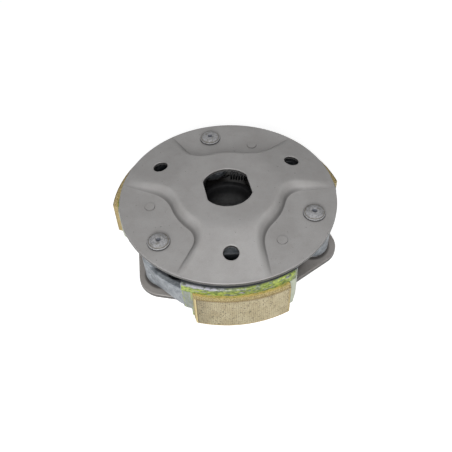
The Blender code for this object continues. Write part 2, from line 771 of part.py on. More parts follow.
def inner_edge():
    """Back from the tail towards the boss, past the recess for the spring's free lug."""
    lug_x, lug_y = in_station(FREE_LUG_PITCH_RADIUS, FREE_LUG_DEG)
    clear_of_hook = LUG_HOLE_RADIUS + HOOK_CLEARANCE
    half_recess = LUG_EDGE + LUG_HOLE_RADIUS
    tail_root = arc(
        TAIL_INNER_RADIUS,
        TAIL_END_DEG - 2 * TAIL_TIP_DEG,
        TAIL_ROOT_DEG,
        (-PIVOT_PITCH_RADIUS, 0.0),
    )
    recess = [
        (lug_x + clear_of_hook, lug_y + half_recess),
        (lug_x + clear_of_hook + HOOK_RECESS_SLANT, lug_y - half_recess),
    ]
    inner_arc = arc(
        BODY_INNER_RADIUS,
        BODY_INNER_END_DEG,
        BODY_INNER_START_DEG,
        (-PIVOT_PITCH_RADIUS, 0.0),
        COARSE_ARC_STEP_DEG,
    )
    run = rounded([tail_root[-1], *recess, inner_arc[0]], CASTING_CORNER, 2)
    return tail_root[:-1] + run[:-1] + inner_arc


def body_outline(draw_in=0.0, draw_in_end_deg=NOSE_DEG):
    """The body in plan. Its land is drawn in by a distance, as far as an angle."""
    land = []
    for x, y in arc(LAND_RADIUS, LAND_START_DEG, LAND_END_DEG, drum_centre()):
        deg = math.degrees(math.atan2(y, x + PIVOT_PITCH_RADIUS))
        radius = math.hypot(x + PIVOT_PITCH_RADIUS, y)
        if deg < draw_in_end_deg:
            radius -= draw_in
        land.append(in_station(radius, deg))
    return land[:-1] + free_end(land[-1]) + inner_edge()


def body_mesh():
    """Plumb where the lining is bonded. It leans in above, and at its foot nearer the arm."""
    return layered(
        "body",
        (body_outline(LAND_DRAFT, LAND_DRAFT_END_DEG), BOSS_BOTTOM),
        (body_outline(), LINING_TOP),
        (body_outline(LAND_LEAN), BODY_TOP),
    )


def skirt_outline():
    """The foot of the land and of the nose, which hangs outside the base plate."""
    radius = LAND_RADIUS - SKIRT_SETBACK
    outer = arc(radius, SKIRT_START_DEG, LAND_END_DEG, drum_centre())
    nose = [in_station(NOSE_RADIUS - SKIRT_SETBACK, NOSE_DEG - SKIRT_NOSE_SETBACK_DEG)]
    inner = arc(
        radius - SKIRT_THICKNESS,
        LAND_END_DEG + SKIRT_INNER_OVERRUN_DEG,
        SKIRT_START_DEG,
        drum_centre(),
        COARSE_ARC_STEP_DEG,
    )
    return outer + nose + inner


def pocket_outline():
    """A curved slot that follows the arm and then the inner side of the body."""
    half = POCKET_WIDTH / 2
    centre_line = []
    for i in range(POCKET_STEPS + 1):
        t = i / POCKET_STEPS
        ease = (1 - t) ** 3
        radius = POCKET_END_RADIUS + (POCKET_START_RADIUS - POCKET_END_RADIUS) * ease
        centre_line.append(
            in_station(radius, POCKET_START_DEG + (POCKET_END_DEG - POCKET_START_DEG) * t)
        )
    outer_side, inner_side = [], []
    for i, point in enumerate(centre_line):
        before = Vector(centre_line[max(i - 1, 0)])
        after = Vector(centre_line[min(i + 1, POCKET_STEPS)])
        along = (after - before).normalized()
        across = Vector((along.y, -along.x)) * half
        outer_side.append((point[0] + across.x, point[1] + across.y))
        inner_side.append((point[0] - across.x, point[1] - across.y))
    along_start = Vector(centre_line[1]) - Vector(centre_line[0])
    along_end = Vector(centre_line[-1]) - Vector(centre_line[-2])
    start_deg = math.degrees(math.atan2(along_start.y, along_start.x))
    end_deg = math.degrees(math.atan2(along_end.y, along_end.x))
    start_cap = arc(
        half, start_deg - 90.0, start_deg - 270.0, centre_line[0], TINY_ARC_STEP_DEG
    )
    end_cap = arc(
        half, end_deg + 90.0, end_deg - 90.0, centre_line[-1], TINY_ARC_STEP_DEG
    )
    return start_cap[1:-1] + inner_side + end_cap[1:-1] + outer_side[::-1]


def lug(pitch_radius, deg, towards):
    """A flat tab about a spring's hook hole, reaching back into the casting at a point."""
    centre = in_station(pitch_radius, deg)
    reach = LUG_HOLE_RADIUS + LUG_EDGE
    back = Vector(towards) - Vector(centre)
    facing = math.degrees(math.atan2(back.y, back.x))
    head = arc(reach, facing + 90.0, facing + 270.0, centre, TINY_ARC_STEP_DEG)
    root = [polar(reach, facing - 90.0, towards), polar(reach, facing + 90.0, towards)]
    return (
        head + root,
        SPRING_MID_HEIGHT - LUG_THICKNESS / 2,
        SPRING_MID_HEIGHT + LUG_THICKNESS / 2,
    )


def shoe_mesh():
    """The casting: boss, arm, body, land and skirt, with a pocket, a pin bore and two spring lugs."""
    arm = layered(
        "shoe",
        (arm_outline(True), BOSS_BOTTOM + ARM_RISE),
        (arm_outline(False), ARM_TOP),
    )
    free_lug_root = in_station(
        FREE_LUG_PITCH_RADIUS + FREE_LUG_ROOT_REACH, FREE_LUG_DEG - FREE_LUG_ROOT_LAG_DEG
    )
    boss_lug_root = (BOSS_LUG_ROOT_DEPTH - BOSS_RADIUS, 0.0)
    boss = prisms("boss", (circle(BOSS_RADIUS), BOSS_BOTTOM, BOSS_TOP))
    shoe = combined("shoe", combined("shoe", arm, boss, "UNION"), body_mesh(), "UNION")
    additions = [
        (skirt_outline(), SKIRT_BOTTOM, BOSS_BOTTOM + SKIRT_DROP),
        lug(FREE_LUG_PITCH_RADIUS, FREE_LUG_DEG, free_lug_root),
        lug(BOSS_LUG_PITCH_RADIUS, BOSS_LUG_DEG, boss_lug_root),
    ]
    for addition in additions:
        shoe = combined("shoe", shoe, prisms("addition", addition), "UNION")
    through = (SKIRT_BOTTOM - CUT_THROUGH, BOSS_TOP + CUT_THROUGH)
    free_hole = in_station(FREE_LUG_PITCH_RADIUS, FREE_LUG_DEG)
    boss_hole = in_station(BOSS_LUG_PITCH_RADIUS, BOSS_LUG_DEG)
    cuts = prisms(
        "cuts",
        (circle(SHOE_BORE_RADIUS), *through),
        (circle(LUG_HOLE_RADIUS, free_hole, TINY_ROUND_SIDES), *through),
        (circle(LUG_HOLE_RADIUS, boss_hole, TINY_ROUND_SIDES), *through),
        (pocket_outline(), BODY_TOP - POCKET_DEPTH, BODY_TOP + CUT_THROUGH),
    )
    return combined("shoe", shoe, cuts, "DIFFERENCE")


def lining_mesh():
    """Cut at a slant at both ends, so that its inner side is the longer one."""
    inner_radius = LAND_RADIUS + BOND_GAP
    outer = arc(
        inner_radius + LINING_THICKNESS, LINING_START_DEG, LINING_END_DEG, drum_centre()
    )
    inner = arc(
        inner_radius,
        LINING_END_DEG + LINING_END_SLANT_DEG,
        LINING_START_DEG - LINING_START_SLANT_DEG,
        drum_centre(),
    )
    return prisms("lining", (outer + inner, SKIRT_BOTTOM, LINING_TOP))


# Stop pin, damper and return spring


def stop_pin_mesh():
    collar_bottom = BASE_TOP + SEAT_GAP
    collar_top = collar_bottom + STOP_COLLAR_HEIGHT
    pin_top = COVER_UNDERSIDE + RECESS_DEPTH - SEAT_GAP
    profile = [
        (0.0, BASE_UNDERSIDE),
        (STOP_PIN_RADIUS, BASE_UNDERSIDE),
        (STOP_PIN_RADIUS, collar_bottom),
        (STOP_COLLAR_RADIUS, collar_bottom),
        (STOP_COLLAR_RADIUS, collar_top),
        (STOP_PIN_RADIUS, collar_top),
        (STOP_PIN_RADIUS, pin_top),
        (0.0, pin_top),
    ]
    return turned("stop_pin", profile)


def damper_mesh():
    bottom = BASE_TOP + STOP_COLLAR_HEIGHT + 2 * SEAT_GAP
    top = COVER_UNDERSIDE - 2 * SEAT_GAP
    return ring_mesh("damper", STOP_PIN_RADIUS + SEAT_GAP, DAMPER_RADIUS, bottom, top)


def spring_wire():
    """The wire's centre line: a hook through one lug, the close coil, and a hook through the other."""
    start = Vector((*in_station(FREE_LUG_PITCH_RADIUS, FREE_LUG_DEG), SPRING_MID_HEIGHT))
    boss_deg = STATION_STEP_DEG + BOSS_LUG_DEG
    end_xy = in_station(BOSS_LUG_PITCH_RADIUS, boss_deg)
    end = Vector((*end_xy, SPRING_MID_HEIGHT))
    along = (end - start).normalized()
    up = Vector((0.0, 0.0, 1.0))
    side = up.cross(along)
    hook_span = 2 * HOOK_RADIUS
    coil_length = (end - start).length - 2 * hook_span
    points = []
    centre = start + along * HOOK_RADIUS
    for i in range(HOOK_STEPS + 1):
        turn = math.radians(180.0 - HOOK_SWEEP_DEG * (1 - i / HOOK_STEPS))
        points.append(
            centre - along * HOOK_RADIUS * math.sin(turn) - up * HOOK_RADIUS * math.cos(turn)
        )
    steps = SPRING_TURNS * COIL_SIDES
    coil_start = start + along * hook_span
    for i in range(steps + 1):
        turn = 2 * math.pi * i / COIL_SIDES
        centre = coil_start + along * coil_length * i / steps
        points.append(
            centre
            + up * SPRING_COIL_RADIUS * math.cos(turn)
            + side * SPRING_COIL_RADIUS * math.sin(turn)
        )
    centre = end - along * HOOK_RADIUS
    for i in range(HOOK_STEPS + 1):
        turn = math.radians(HOOK_SWEEP_DEG * i / HOOK_STEPS)
        points.append(
            centre + along * HOOK_RADIUS * math.sin(turn) + up * HOOK_RADIUS * math.cos(turn)
        )
    return points


def wire_mesh(name, points):
    """A round wire along a line of points, closed at both ends."""
    bm = bmesh.new()
    rings = []
    normal = None
    for i, point in enumerate(points):
        before = points[max(i - 1, 0)]
        after = points[min(i + 1, len(points) - 1)]
        along = (after - before).normalized()
        if normal is None:
            normal = along.orthogonal()
        normal = (normal - along * normal.dot(along)).normalized()
        across = along.cross(normal)
        ring = []
        for k in range(WIRE_SIDES):
            turn = 2 * math.pi * k / WIRE_SIDES
            offset = normal * math.cos(turn) + across * math.sin(turn)
            ring.append(bm.verts.new(point + offset * SPRING_WIRE_RADIUS))
        rings.append(ring)
    for low, high in zip(rings, rings[1:]):
        for k in range(WIRE_SIDES):
            n = (k + 1) % WIRE_SIDES
            bm.faces.new((low[k], low[n], high[n], high[k]))
    bm.faces.new(rings[0][::-1])
    bm.faces.new(rings[-1])
    return finish_mesh(bm, name, 2 * SHARP_EDGE_DEG)


# Materials and placing


def material(name, colour, roughness, metallic):
    made = bpy.data.materials.new(name)
    made.use_nodes = True
    shader = made.node_tree.nodes["Principled BSDF"]
    shader.inputs["Base Color"].default_value = (*colour, 1.0)
    shader.inputs["Roughness"].default_value = roughness
    shader.inputs["Metallic"].default_value = metallic
    return made


def place(name, mesh, finish, parent=None):
    """A named object. Station pieces have a parent on the pivot axis."""
    if not mesh.materials:
        mesh.materials.append(finish)
    obj = bpy.data.objects.new(name, mesh)
    bpy.context.collection.objects.link(obj)
    obj.parent = parent
    return obj


def station_empty(number):
    facing = FIRST_STATION_DEG + (number - 1) * STATION_STEP_DEG
    empty = bpy.data.objects.new(f"pivot_axis_{number}", None)
    bpy.context.collection.objects.link(empty)
    empty.location = (*polar(PIVOT_PITCH_RADIUS, facing), 0.0)
    empty.rotation_euler = (0.0, 0.0, math.radians(facing))
    return empty


def stop_place(mesh):
    """Stop pins and dampers are turned about their own axis, then set beside the shoe's tail."""
    x, y = in_station(STOP_PITCH_RADIUS, STOP_DEG)
    for vertex in mesh.vertices:
        vertex.co.x += x
        vertex.co.y += y
    return mesh


def build():
    for obj in list(bpy.data.objects):
        bpy.data.objects.remove(obj)

    cover_steel = material("cover_steel", (0.37, 0.365, 0.36), 0.5, 0.6)
    base_steel = material("base_steel", (0.22, 0.205, 0.195), 0.5, 0.6)
    turned_steel = material("turned_steel", (0.36, 0.36, 0.37), 0.35, 0.9)
    cast_metal = material("cast_metal", (0.36, 0.39, 0.41), 0.6, 0.7)
    friction = material("friction_lining", (0.45, 0.37, 0.2), 0.9, 0.0)
    bronze = material("bronze", (0.5, 0.33, 0.14), 0.4, 0.9)
    rubber = material("rubber", (0.02, 0.02, 0.02), 0.8, 0.0)
    spring_steel = material("spring_steel", (0.25, 0.25, 0.26), 0.35, 0.9)

    place("drive_plate", base_plate_mesh(), base_steel)
    place("hub", hub_mesh(), turned_steel)
    place("cover_plate", cover_plate_mesh(), cover_steel)

    station_pieces = [
        ("pivot_pin", pivot_pin_mesh(), turned_steel),
        ("lower_washer", lower_washer_mesh(), turned_steel),
        ("upper_washer", upper_washer_mesh(), turned_steel),
        ("bush", bush_mesh(), bronze),
        ("shoe", shoe_mesh(), cast_metal),
        ("lining", lining_mesh(), friction),
        ("stop_pin", stop_place(stop_pin_mesh()), turned_steel),
        ("damper", stop_place(damper_mesh()), rubber),
        ("return_spring", wire_mesh("return_spring", spring_wire()), spring_steel),
    ]
    for number in range(1, STATIONS + 1):
        empty = station_empty(number)
        for name, mesh, finish in station_pieces:
            place(f"{name}_{number}", mesh, finish, empty)


build()
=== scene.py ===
"""Looks of a three-shoe centrifugal clutch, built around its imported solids.

Every visible piece is rebuilt here with finer edges and surfaces, in the place of its solid.
Station pieces are drawn in a station's own frame, with the origin on the pivot axis and +X pointing
straight out from the clutch axis, and are placed three times.
"""

import math

import bmesh
import bpy
import numpy as np
from mathutils import Matrix, Vector, noise
from mathutils.geometry import delaunay_2d_cdt


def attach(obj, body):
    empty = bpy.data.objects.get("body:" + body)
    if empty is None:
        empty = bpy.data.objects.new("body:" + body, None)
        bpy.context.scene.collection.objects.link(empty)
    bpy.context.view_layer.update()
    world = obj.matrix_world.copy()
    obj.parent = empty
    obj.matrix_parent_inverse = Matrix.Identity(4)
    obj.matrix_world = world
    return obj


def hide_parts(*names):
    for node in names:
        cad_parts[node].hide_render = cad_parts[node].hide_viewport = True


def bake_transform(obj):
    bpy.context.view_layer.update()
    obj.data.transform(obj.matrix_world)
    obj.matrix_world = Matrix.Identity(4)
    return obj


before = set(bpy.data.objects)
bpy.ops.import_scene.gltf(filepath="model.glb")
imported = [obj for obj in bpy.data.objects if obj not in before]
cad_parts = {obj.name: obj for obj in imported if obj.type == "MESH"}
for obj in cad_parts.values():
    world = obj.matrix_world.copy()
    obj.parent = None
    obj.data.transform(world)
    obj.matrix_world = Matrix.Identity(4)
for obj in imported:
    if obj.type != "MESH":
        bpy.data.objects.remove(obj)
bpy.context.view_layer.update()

MM = 0.001
scene = bpy.context.scene

# Sizes, as in the solids
STATIONS = 3
STATION_STEP_DEG = 360.0 / STATIONS
FIRST_STATION_DEG = 90.0
PIVOT_PITCH_RADIUS = 51.5 * MM
SEAT_GAP = 0.3 * MM
RUNNING_GAP = 0.25 * MM
BASE_UNDERSIDE = 3.2 * MM
BASE_TOP = 5.8 * MM
WASHER_THICKNESS = 0.7 * MM
BOSS_BOTTOM = 7.1 * MM
BOSS_TOP = 31.2 * MM
SKIRT_BOTTOM = 3.3 * MM
COVER_UNDERSIDE = 32.5 * MM
COVER_THICKNESS = 2.0 * MM
COVER_TOP = COVER_UNDERSIDE + COVER_THICKNESS
BASE_DISC_RADIUS = 56.2 * MM
BASE_LOBE_RADIUS = 14.8 * MM
BASE_LOBE_LEAD_DEG = 0.9
SPLINE_TEETH = 20
SPLINE_MINOR_RADIUS = 10.0 * MM
SPLINE_MAJOR_RADIUS = 11.3 * MM
SPLINE_LENGTH = 9.5 * MM
HUB_BORE_RADIUS = 15.0 * MM
HUB_RADIUS = 19.0 * MM
HUB_FLANGE_RADIUS = 25.0 * MM
HUB_TOP = 27.4 * MM
COVER_RADIUS = 63.5 * MM
STAR_HEIGHT = 6.9 * MM
PLATEAU_RADIUS = 31.0 * MM
STAR_FOOT_RADIUS = 62.8 * MM
STEP_RUN = 5.2 * MM
STEP_FOOT_BLEND = 0.5 * MM
KEY_HOLE_RADIUS = 15.0 * MM
KEY_HOLE_HALF_FLATS = 13.0 * MM
LOBE_HOLE_RADIUS = 4.35 * MM
LOBE_HOLE_PITCH_RADIUS = 45.8 * MM
LOBE_HOLE_DEG = 49.8
BUMP_RADIUS = 3.0 * MM
BUMP_HEIGHT = 0.5 * MM
BUMP_WALL = 0.16 * MM
PIN_RADIUS = 6.0 * MM
PIN_SPIGOT_RADIUS = 4.5 * MM
PIN_HEAD_RADIUS = 6.3 * MM
PIN_TAIL_RADIUS = 5.9 * MM
PIN_TAIL_HEIGHT = 1.7 * MM
WASHER_RADIUS = 9.5 * MM
BUSH_RADIUS = 7.25 * MM
DRUM_RADIUS = 70.0 * MM
ENGAGE_DEG = 1.0
LINING_THICKNESS = 3.5 * MM
LINING_HEIGHT = 23.0 * MM
LINING_START_DEG = 33.2
LINING_END_DEG = 76.6
LINING_START_SLANT_DEG = 2.0
LINING_END_SLANT_DEG = 1.2
STOP_PITCH_RADIUS = 45.8 * MM
STOP_DEG = 88.1
STOP_PIN_RADIUS = 3.0 * MM
STOP_COLLAR_RADIUS = 4.6 * MM
STOP_COLLAR_HEIGHT = 2.0 * MM
DAMPER_RADIUS = 5.35 * MM
SPRING_WIRE_RADIUS = 0.6 * MM
SPRING_COIL_RADIUS = 4.0 * MM
SPRING_TURNS = 9
SPRING_MID_HEIGHT = 18.5 * MM
HOOK_RADIUS = 4.0 * MM
FREE_LUG_PITCH_RADIUS = 40.0 * MM
FREE_LUG_DEG = 70.0
BOSS_LUG_PITCH_RADIUS = 37.0 * MM
BOSS_LUG_DEG = -2.0

FACINGS = [FIRST_STATION_DEG + n * STATION_STEP_DEG for n in range(STATIONS)]

# Finer forms, and how closely they are drawn
SHARP_DEG = 38.0
EDGE_RINGS = tuple(d * MM for d in (0.0, 0.06, 0.2, 0.42, 0.75))
TOP_ROLL = 0.42 * MM
LOW_ROLL = 0.2 * MM
STEP_LINES = tuple(d * MM for d in (0.0, 0.2, 0.4, 0.65, 1.0, 1.5, 2.1, 2.8, 3.6, 4.4, 5.2, 6.0))
BUMP_LINES = tuple(d * MM for d in (2.72, 2.84, 2.88, 2.92, 2.96, 3.0, 3.1))
PANEL_CORNER_RADIUS = 9.3 * MM
# Where the unevenness along X, Y and Z is read, so that the three differ
WOBBLE_APART = (Vector((9.3, -1.5, -7.9)), Vector((0.0, 0.0, 0.0)), Vector((6.3, 0.2, -2.7)))
SHOULDER_BLEND = 3.0 * MM
HUB_EDGE = 0.7 * MM
CASTING_VOXEL = 0.5 * MM
CASTING_ROUGHNESS = 0.13 * MM
HOOK_TURN_DEG = 240.0
HOOK_STEPS = 20
COIL_SIDES = 20
BLOCK_STEPS = 90
FLOOR_RADIUS = 4.0 * math.sqrt(2.0)
FLOOR_HEIGHT = -0.2 * MM
SKY_LIGHT = 0.14


# Outlines


def polar(radius, deg, centre=(0.0, 0.0)):
    angle = math.radians(deg)
    return (centre[0] + radius * math.cos(angle), centre[1] + radius * math.sin(angle))


def in_station(radius, deg):
    return polar(radius, deg, (-PIVOT_PITCH_RADIUS, 0.0))


def spots(radius, deg=0.0):
    """The same point at each station."""
    return [polar(radius, facing + deg) for facing in FACINGS]


DRUM_CENTRE = polar(PIVOT_PITCH_RADIUS, 180.0 + ENGAGE_DEG)
PIVOT_SPOTS = spots(PIVOT_PITCH_RADIUS)
STOP_SPOTS = spots(STOP_PITCH_RADIUS, STOP_DEG)


def arc(radius, start_deg, end_deg, centre=(0.0, 0.0), step_deg=1.5):
    count = max(1, math.ceil(abs(end_deg - start_deg) / step_deg - 1e-6))
    return [
        polar(radius, start_deg + (end_deg - start_deg) * i / count, centre)
        for i in range(count + 1)
    ]


def circle(radius, centre=(0.0, 0.0), sides=48):
    return [polar(radius, 360.0 * i / sides, centre) for i in range(sides)]


def rounded(points, radius, segments=8):
    out = [points[0]]
    for before, corner, after in zip(points, points[1:], points[2:]):
        corner_v = Vector(corner)
        back = Vector(before) - corner_v
        on = Vector(after) - corner_v
        reach = min(radius, back.length / 2, on.length / 2)
        start = corner_v + back.normalized() * reach
        end = corner_v + on.normalized() * reach
        for i in range(segments + 1):
            t = i / segments
            point = start * (1 - t) ** 2 + corner_v * 2 * t * (1 - t) + end * t**2
            out.append((point.x, point.y))
    return out + [points[-1]]


def divided(points, spacing):
    out = [points[0]]
    for a, b in zip(points, points[1:]):
        count = max(1, round(math.dist(a, b) / spacing))
        for i in range(1, count + 1):
            out.append((a[0] + (b[0] - a[0]) * i / count, a[1] + (b[1] - a[1]) * i / count))
    return out


def beside(points, distance, closed=False):
    """The run moved to its left by a distance."""
    out = []
    last = len(points) - 1
    for i, (x, y) in enumerate(points):
        before = points[i - 1] if i or closed else points[0]
        after = points[(i + 1) % len(points)] if i < last or closed else points[last]
        dx, dy = after[0] - before[0], after[1] - before[1]
        length = math.hypot(dx, dy)
        out.append((x - dy / length * distance, y + dx / length * distance))
    return out


def segments(run, closed):
    run = np.array(run)
    return zip(run if closed else run[:-1], np.roll(run, -1, 0) if closed else run[1:])


def reach_of(points, run, closed=True):
    """Distance from each point to a run of segments."""
    best = np.full(len(points), 1e9)
    for (ax, ay), (bx, by) in segments(run, closed):
        dx, dy = bx - ax, by - ay
        share = ((points[:, 0] - ax) * dx + (points[:, 1] - ay) * dy) / (dx * dx + dy * dy)
        share = np.clip(share, 0.0, 1.0)
        gap = np.hypot(points[:, 0] - ax - dx * share, points[:, 1] - ay - dy * share)
        best = np.minimum(best, gap)
    return best


def crossings(points, run, closed=True):
    """True for each point that has an odd number of the run's segments to its left."""
    odd = np.zeros(len(points), bool)
    for (ax, ay), (bx, by) in segments(run, closed):
        spans = (ay > points[:, 1]) != (by > points[:, 1])
        if ay != by:
            odd ^= spans & (ax + (bx - ax) * (points[:, 1] - ay) / (by - ay) < points[:, 0])
    return odd


# Meshes


def smoothed(mesh, sharp_deg=SHARP_DEG):
    mesh.shade_smooth()
    mesh.set_sharp_from_angle(angle=math.radians(sharp_deg))
    return mesh


def finish_mesh(bm, name, sharp_deg=SHARP_DEG):
    bmesh.ops.recalc_face_normals(bm, faces=bm.faces)
    mesh = bpy.data.meshes.new(name)
    bm.to_mesh(mesh)
    bm.free()
    return smoothed(mesh, sharp_deg)


def bridge(bm, low, high):
    """Faces between two rings, either of which may be one point."""
    for i in range(len(low)):
        j = (i + 1) % len(low)
        face = list(dict.fromkeys((low[i], low[j], high[j], high[i])))
        if len(face) > 2:
            bm.faces.new(face)


def skinned(bm, name, rings):
    """Faces along a row of rings and over both its ends."""
    for low, high in zip(rings, rings[1:]):
        bridge(bm, low, high)
    bm.faces.new(rings[0][::-1])
    bm.faces.new(rings[-1])
    return finish_mesh(bm, name, 60.0)


def rows(collection, key):
    """A vector of each item in a collection, one to a row."""
    values = np.empty(len(collection) * 3, np.float32)
    collection.foreach_get(key, values)
    return values.reshape(-1, 3)


def note(mesh, name, values):
    """Keeps a number or a vector for each point of a mesh."""
    kind, key = ("FLOAT", "value") if values.ndim == 1 else ("FLOAT_VECTOR", "vector")
    mesh.attributes.new(name, kind, "POINT").data.foreach_set(key, values.astype(np.float32).ravel())


def sheet_mesh(name, outline, holes, lines, height, underside, thickness, spacing):
    """A plate whose plan follows its outline, holes and lines, with rolled upper edges."""
    points, edges = [], []

    def add_run(run, closed):
        first = len(points)
        points.extend(Vector(point) for point in run)
        edges.extend((first + i, first + i + 1) for i in range(len(run) - 1))
        if closed:
            edges.append((first + len(run) - 1, first))

    for ring in EDGE_RINGS:
        add_run(beside(outline, ring, True), True)
        for hole in holes:
            add_run(beside(hole, -ring, True), True)
    for line, closed in lines:
        add_run(line, closed)
    runs = np.array([tuple(p) for p in points])
    reach = COVER_RADIUS + BASE_LOBE_RADIUS
    steps = np.arange(-reach, reach, spacing)
    grid = np.array([
        (x + (j % 2) * spacing / 2, y * math.sqrt(0.75))
        for j, y in enumerate(steps / math.sqrt(0.75))
        for x in steps
    ])
    grid = grid[crossings(grid, outline)]
    cell = spacing * 0.55
    taken = {(round(x / cell), round(y / cell)) for x, y in runs}
    for x, y in grid:
        at = (round(x / cell), round(y / cell))
        near = {(at[0] + i, at[1] + j) for i in (-1, 0, 1) for j in (-1, 0, 1)}
        if not near & taken:
            points.append(Vector((x, y)))
    found = delaunay_2d_cdt(points, edges, [], 0, 1e-8, False)
    corners = np.array([tuple(c) for c in found[0]])
    triangles = np.array(found[2])
    middles = corners[triangles].mean(axis=1)
    kept = crossings(middles, outline)
    for hole in holes:
        kept &= ~crossings(middles, hole)
    triangles = triangles[kept]
    used = np.unique(triangles)
    plan = corners[used]
    edge_gap = reach_of(plan, outline)
    for hole in holes:
        edge_gap = np.minimum(edge_gap, reach_of(plan, hole))
    tops = height(plan)
    step = 0.05 * MM
    rise_x = (height(plan + (step, 0)) - height(plan - (step, 0))) / (2 * step)
    rise_y = (height(plan + (0, step)) - height(plan - (0, step))) / (2 * step)
    lows = np.maximum(underside, tops - thickness * np.sqrt(1 + rise_x**2 + rise_y**2))

    def roll(radius):
        inner = np.clip(radius - edge_gap, 0.0, radius)
        return radius - np.sqrt(radius**2 - inner**2)

    tops = tops - roll(TOP_ROLL)
    lows = lows + roll(LOW_ROLL)
    bm = bmesh.new()
    top = {i: bm.verts.new((*p, z)) for i, p, z in zip(used, plan, tops)}
    low = {i: bm.verts.new((*p, z)) for i, p, z in zip(used, plan, lows)}
    sides = set()
    for a, b, c in triangles.tolist():
        bm.faces.new((top[a], top[b], top[c]))
        bm.faces.new((low[c], low[b], low[a]))
        sides |= {(a, b), (b, c), (c, a)}
    for a, b in sides:
        if (b, a) not in sides:
            bm.faces.new((top[b], top[a], low[a], low[b]))
    return finish_mesh(bm, name)


def turned(name, profile, sides=72, fillet=0.15 * MM, closed=False):
    """A profile of (radius, height) points turned about Z, with its corners rounded."""
    if closed:
        run = rounded([profile[-1], *profile, profile[0]], fillet, 3)[1:-1]
    else:
        run = rounded(profile, fillet, 3)
    turns = [2 * math.pi * i / sides for i in range(sides)]
    bm = bmesh.new()
    rings = []
    for radius, z in run:
        if radius < 1e-7:
            rings.append([bm.verts.new((0.0, 0.0, z))] * sides)
        else:
            rings.append([bm.verts.new((radius * math.cos(t), radius * math.sin(t), z)) for t in turns])
    for low, high in zip(rings, rings[1:] + rings[:1] if closed else rings[1:]):
        bridge(bm, low, high)
    bmesh.ops.remove_doubles(bm, verts=bm.verts, dist=1e-7)
    return finish_mesh(bm, name, 50.0)


def linked(name, data):
    obj = bpy.data.objects.new(name, data)
    scene.collection.objects.link(obj)
    return obj


def with_modifiers(mesh, *kinds):
    """The mesh after modifiers, each given as (type, {property: value})."""
    obj = linked("work", mesh)
    for kind, values in kinds:
        modifier = obj.modifiers.new(kind, kind)
        for key, value in values.items():
            setattr(modifier, key, value)
    graph = bpy.context.evaluated_depsgraph_get()
    made = bpy.data.meshes.new_from_object(obj.evaluated_get(graph))
    bpy.data.objects.remove(obj)
    return made


def less(mesh, cutter_mesh):
    """The mesh with another cut out of it."""
    cutter = linked("cutter", cutter_mesh)
    made = with_modifiers(
        mesh, ("BOOLEAN", {"operation": "DIFFERENCE", "solver": "EXACT", "object": cutter})
    )
    bpy.data.objects.remove(cutter)
    return smoothed(made)


# Materials


class Nodes:
    """The nodes of a material or a world, with short cuts."""

    def __init__(self, block):
        block.use_nodes = True
        self.tree = block.node_tree

    def feed(self, socket, value):
        """Links a socket to another, or sets its value. A colour has three numbers."""
        if isinstance(value, bpy.types.NodeSocket):
            self.tree.links.new(value, socket)
        else:
            socket.default_value = (*value, 1.0) if socket.type == "RGBA" else value

    def node(self, kind, inputs=(), **properties):
        made = self.tree.nodes.new(f"ShaderNode{kind}")
        for key, value in properties.items():
            setattr(made, key, value)
        for key, value in dict(inputs).items():
            self.feed(made.inputs[key], value)
        return made.outputs

    def math(self, operation, a, b=0.0, clamp=False):
        return self.node("Math", {0: a, 1: b}, operation=operation, use_clamp=clamp)[0]

    def times(self, *factors, clamp=False):
        product = factors[0]
        for factor in factors[1:]:
            product = self.math("MULTIPLY", product, factor, clamp)
        return product

    def plus(self, a, b, clamp=False):
        return self.math("ADD", a, b, clamp)

    def inverse(self, value):
        return self.math("SUBTRACT", 1.0, value)

    def uneven(self, value, width):
        """Noise turned into lengths that lie this wide about 0."""
        return self.times(self.math("SUBTRACT", value, 0.5), width)

    def ramp(self, value, low, high):
        """0 below low, 1 above high, smooth between."""
        limits = {"Value": value, "From Min": low, "From Max": high}
        return self.node("MapRange", limits, interpolation_type="SMOOTHSTEP")["Result"]

    def spread(self, value, low, high):
        """0 to 1 turned into low to high."""
        limits = {"Value": value, "To Min": low, "To Max": high}
        return self.node("MapRange", limits)["Result"]

    def mix(self, share, a, b, blend="MIX"):
        colours = {0: share, 6: a, 7: b}
        return self.node("Mix", colours, data_type="RGBA", blend_type=blend)[2]

    def mottled(self, value, dark, light, low=0.3, high=0.7):
        """Two colours in patches, dark where value is low and light where it is high."""
        return self.mix(self.ramp(value, low, high), dark, light)

    def tinted(self, colour, value, low, high):
        """The colour times low where value is 0, and times high where it is 1."""
        factor = self.spread(value, low, high)
        grey = self.node("CombineColor", {"Red": factor, "Green": factor, "Blue": factor})
        return self.mix(1.0, colour, grey[0], "MULTIPLY")

    def seen(self):
        """1 for rays from the camera, off a shiny face or through glass, and 0 for others."""
        rays = self.node("LightPath")
        direct = self.math("MAXIMUM", rays["Is Camera Ray"], rays["Is Glossy Ray"])
        return self.math("MAXIMUM", direct, rays["Is Transmission Ray"])


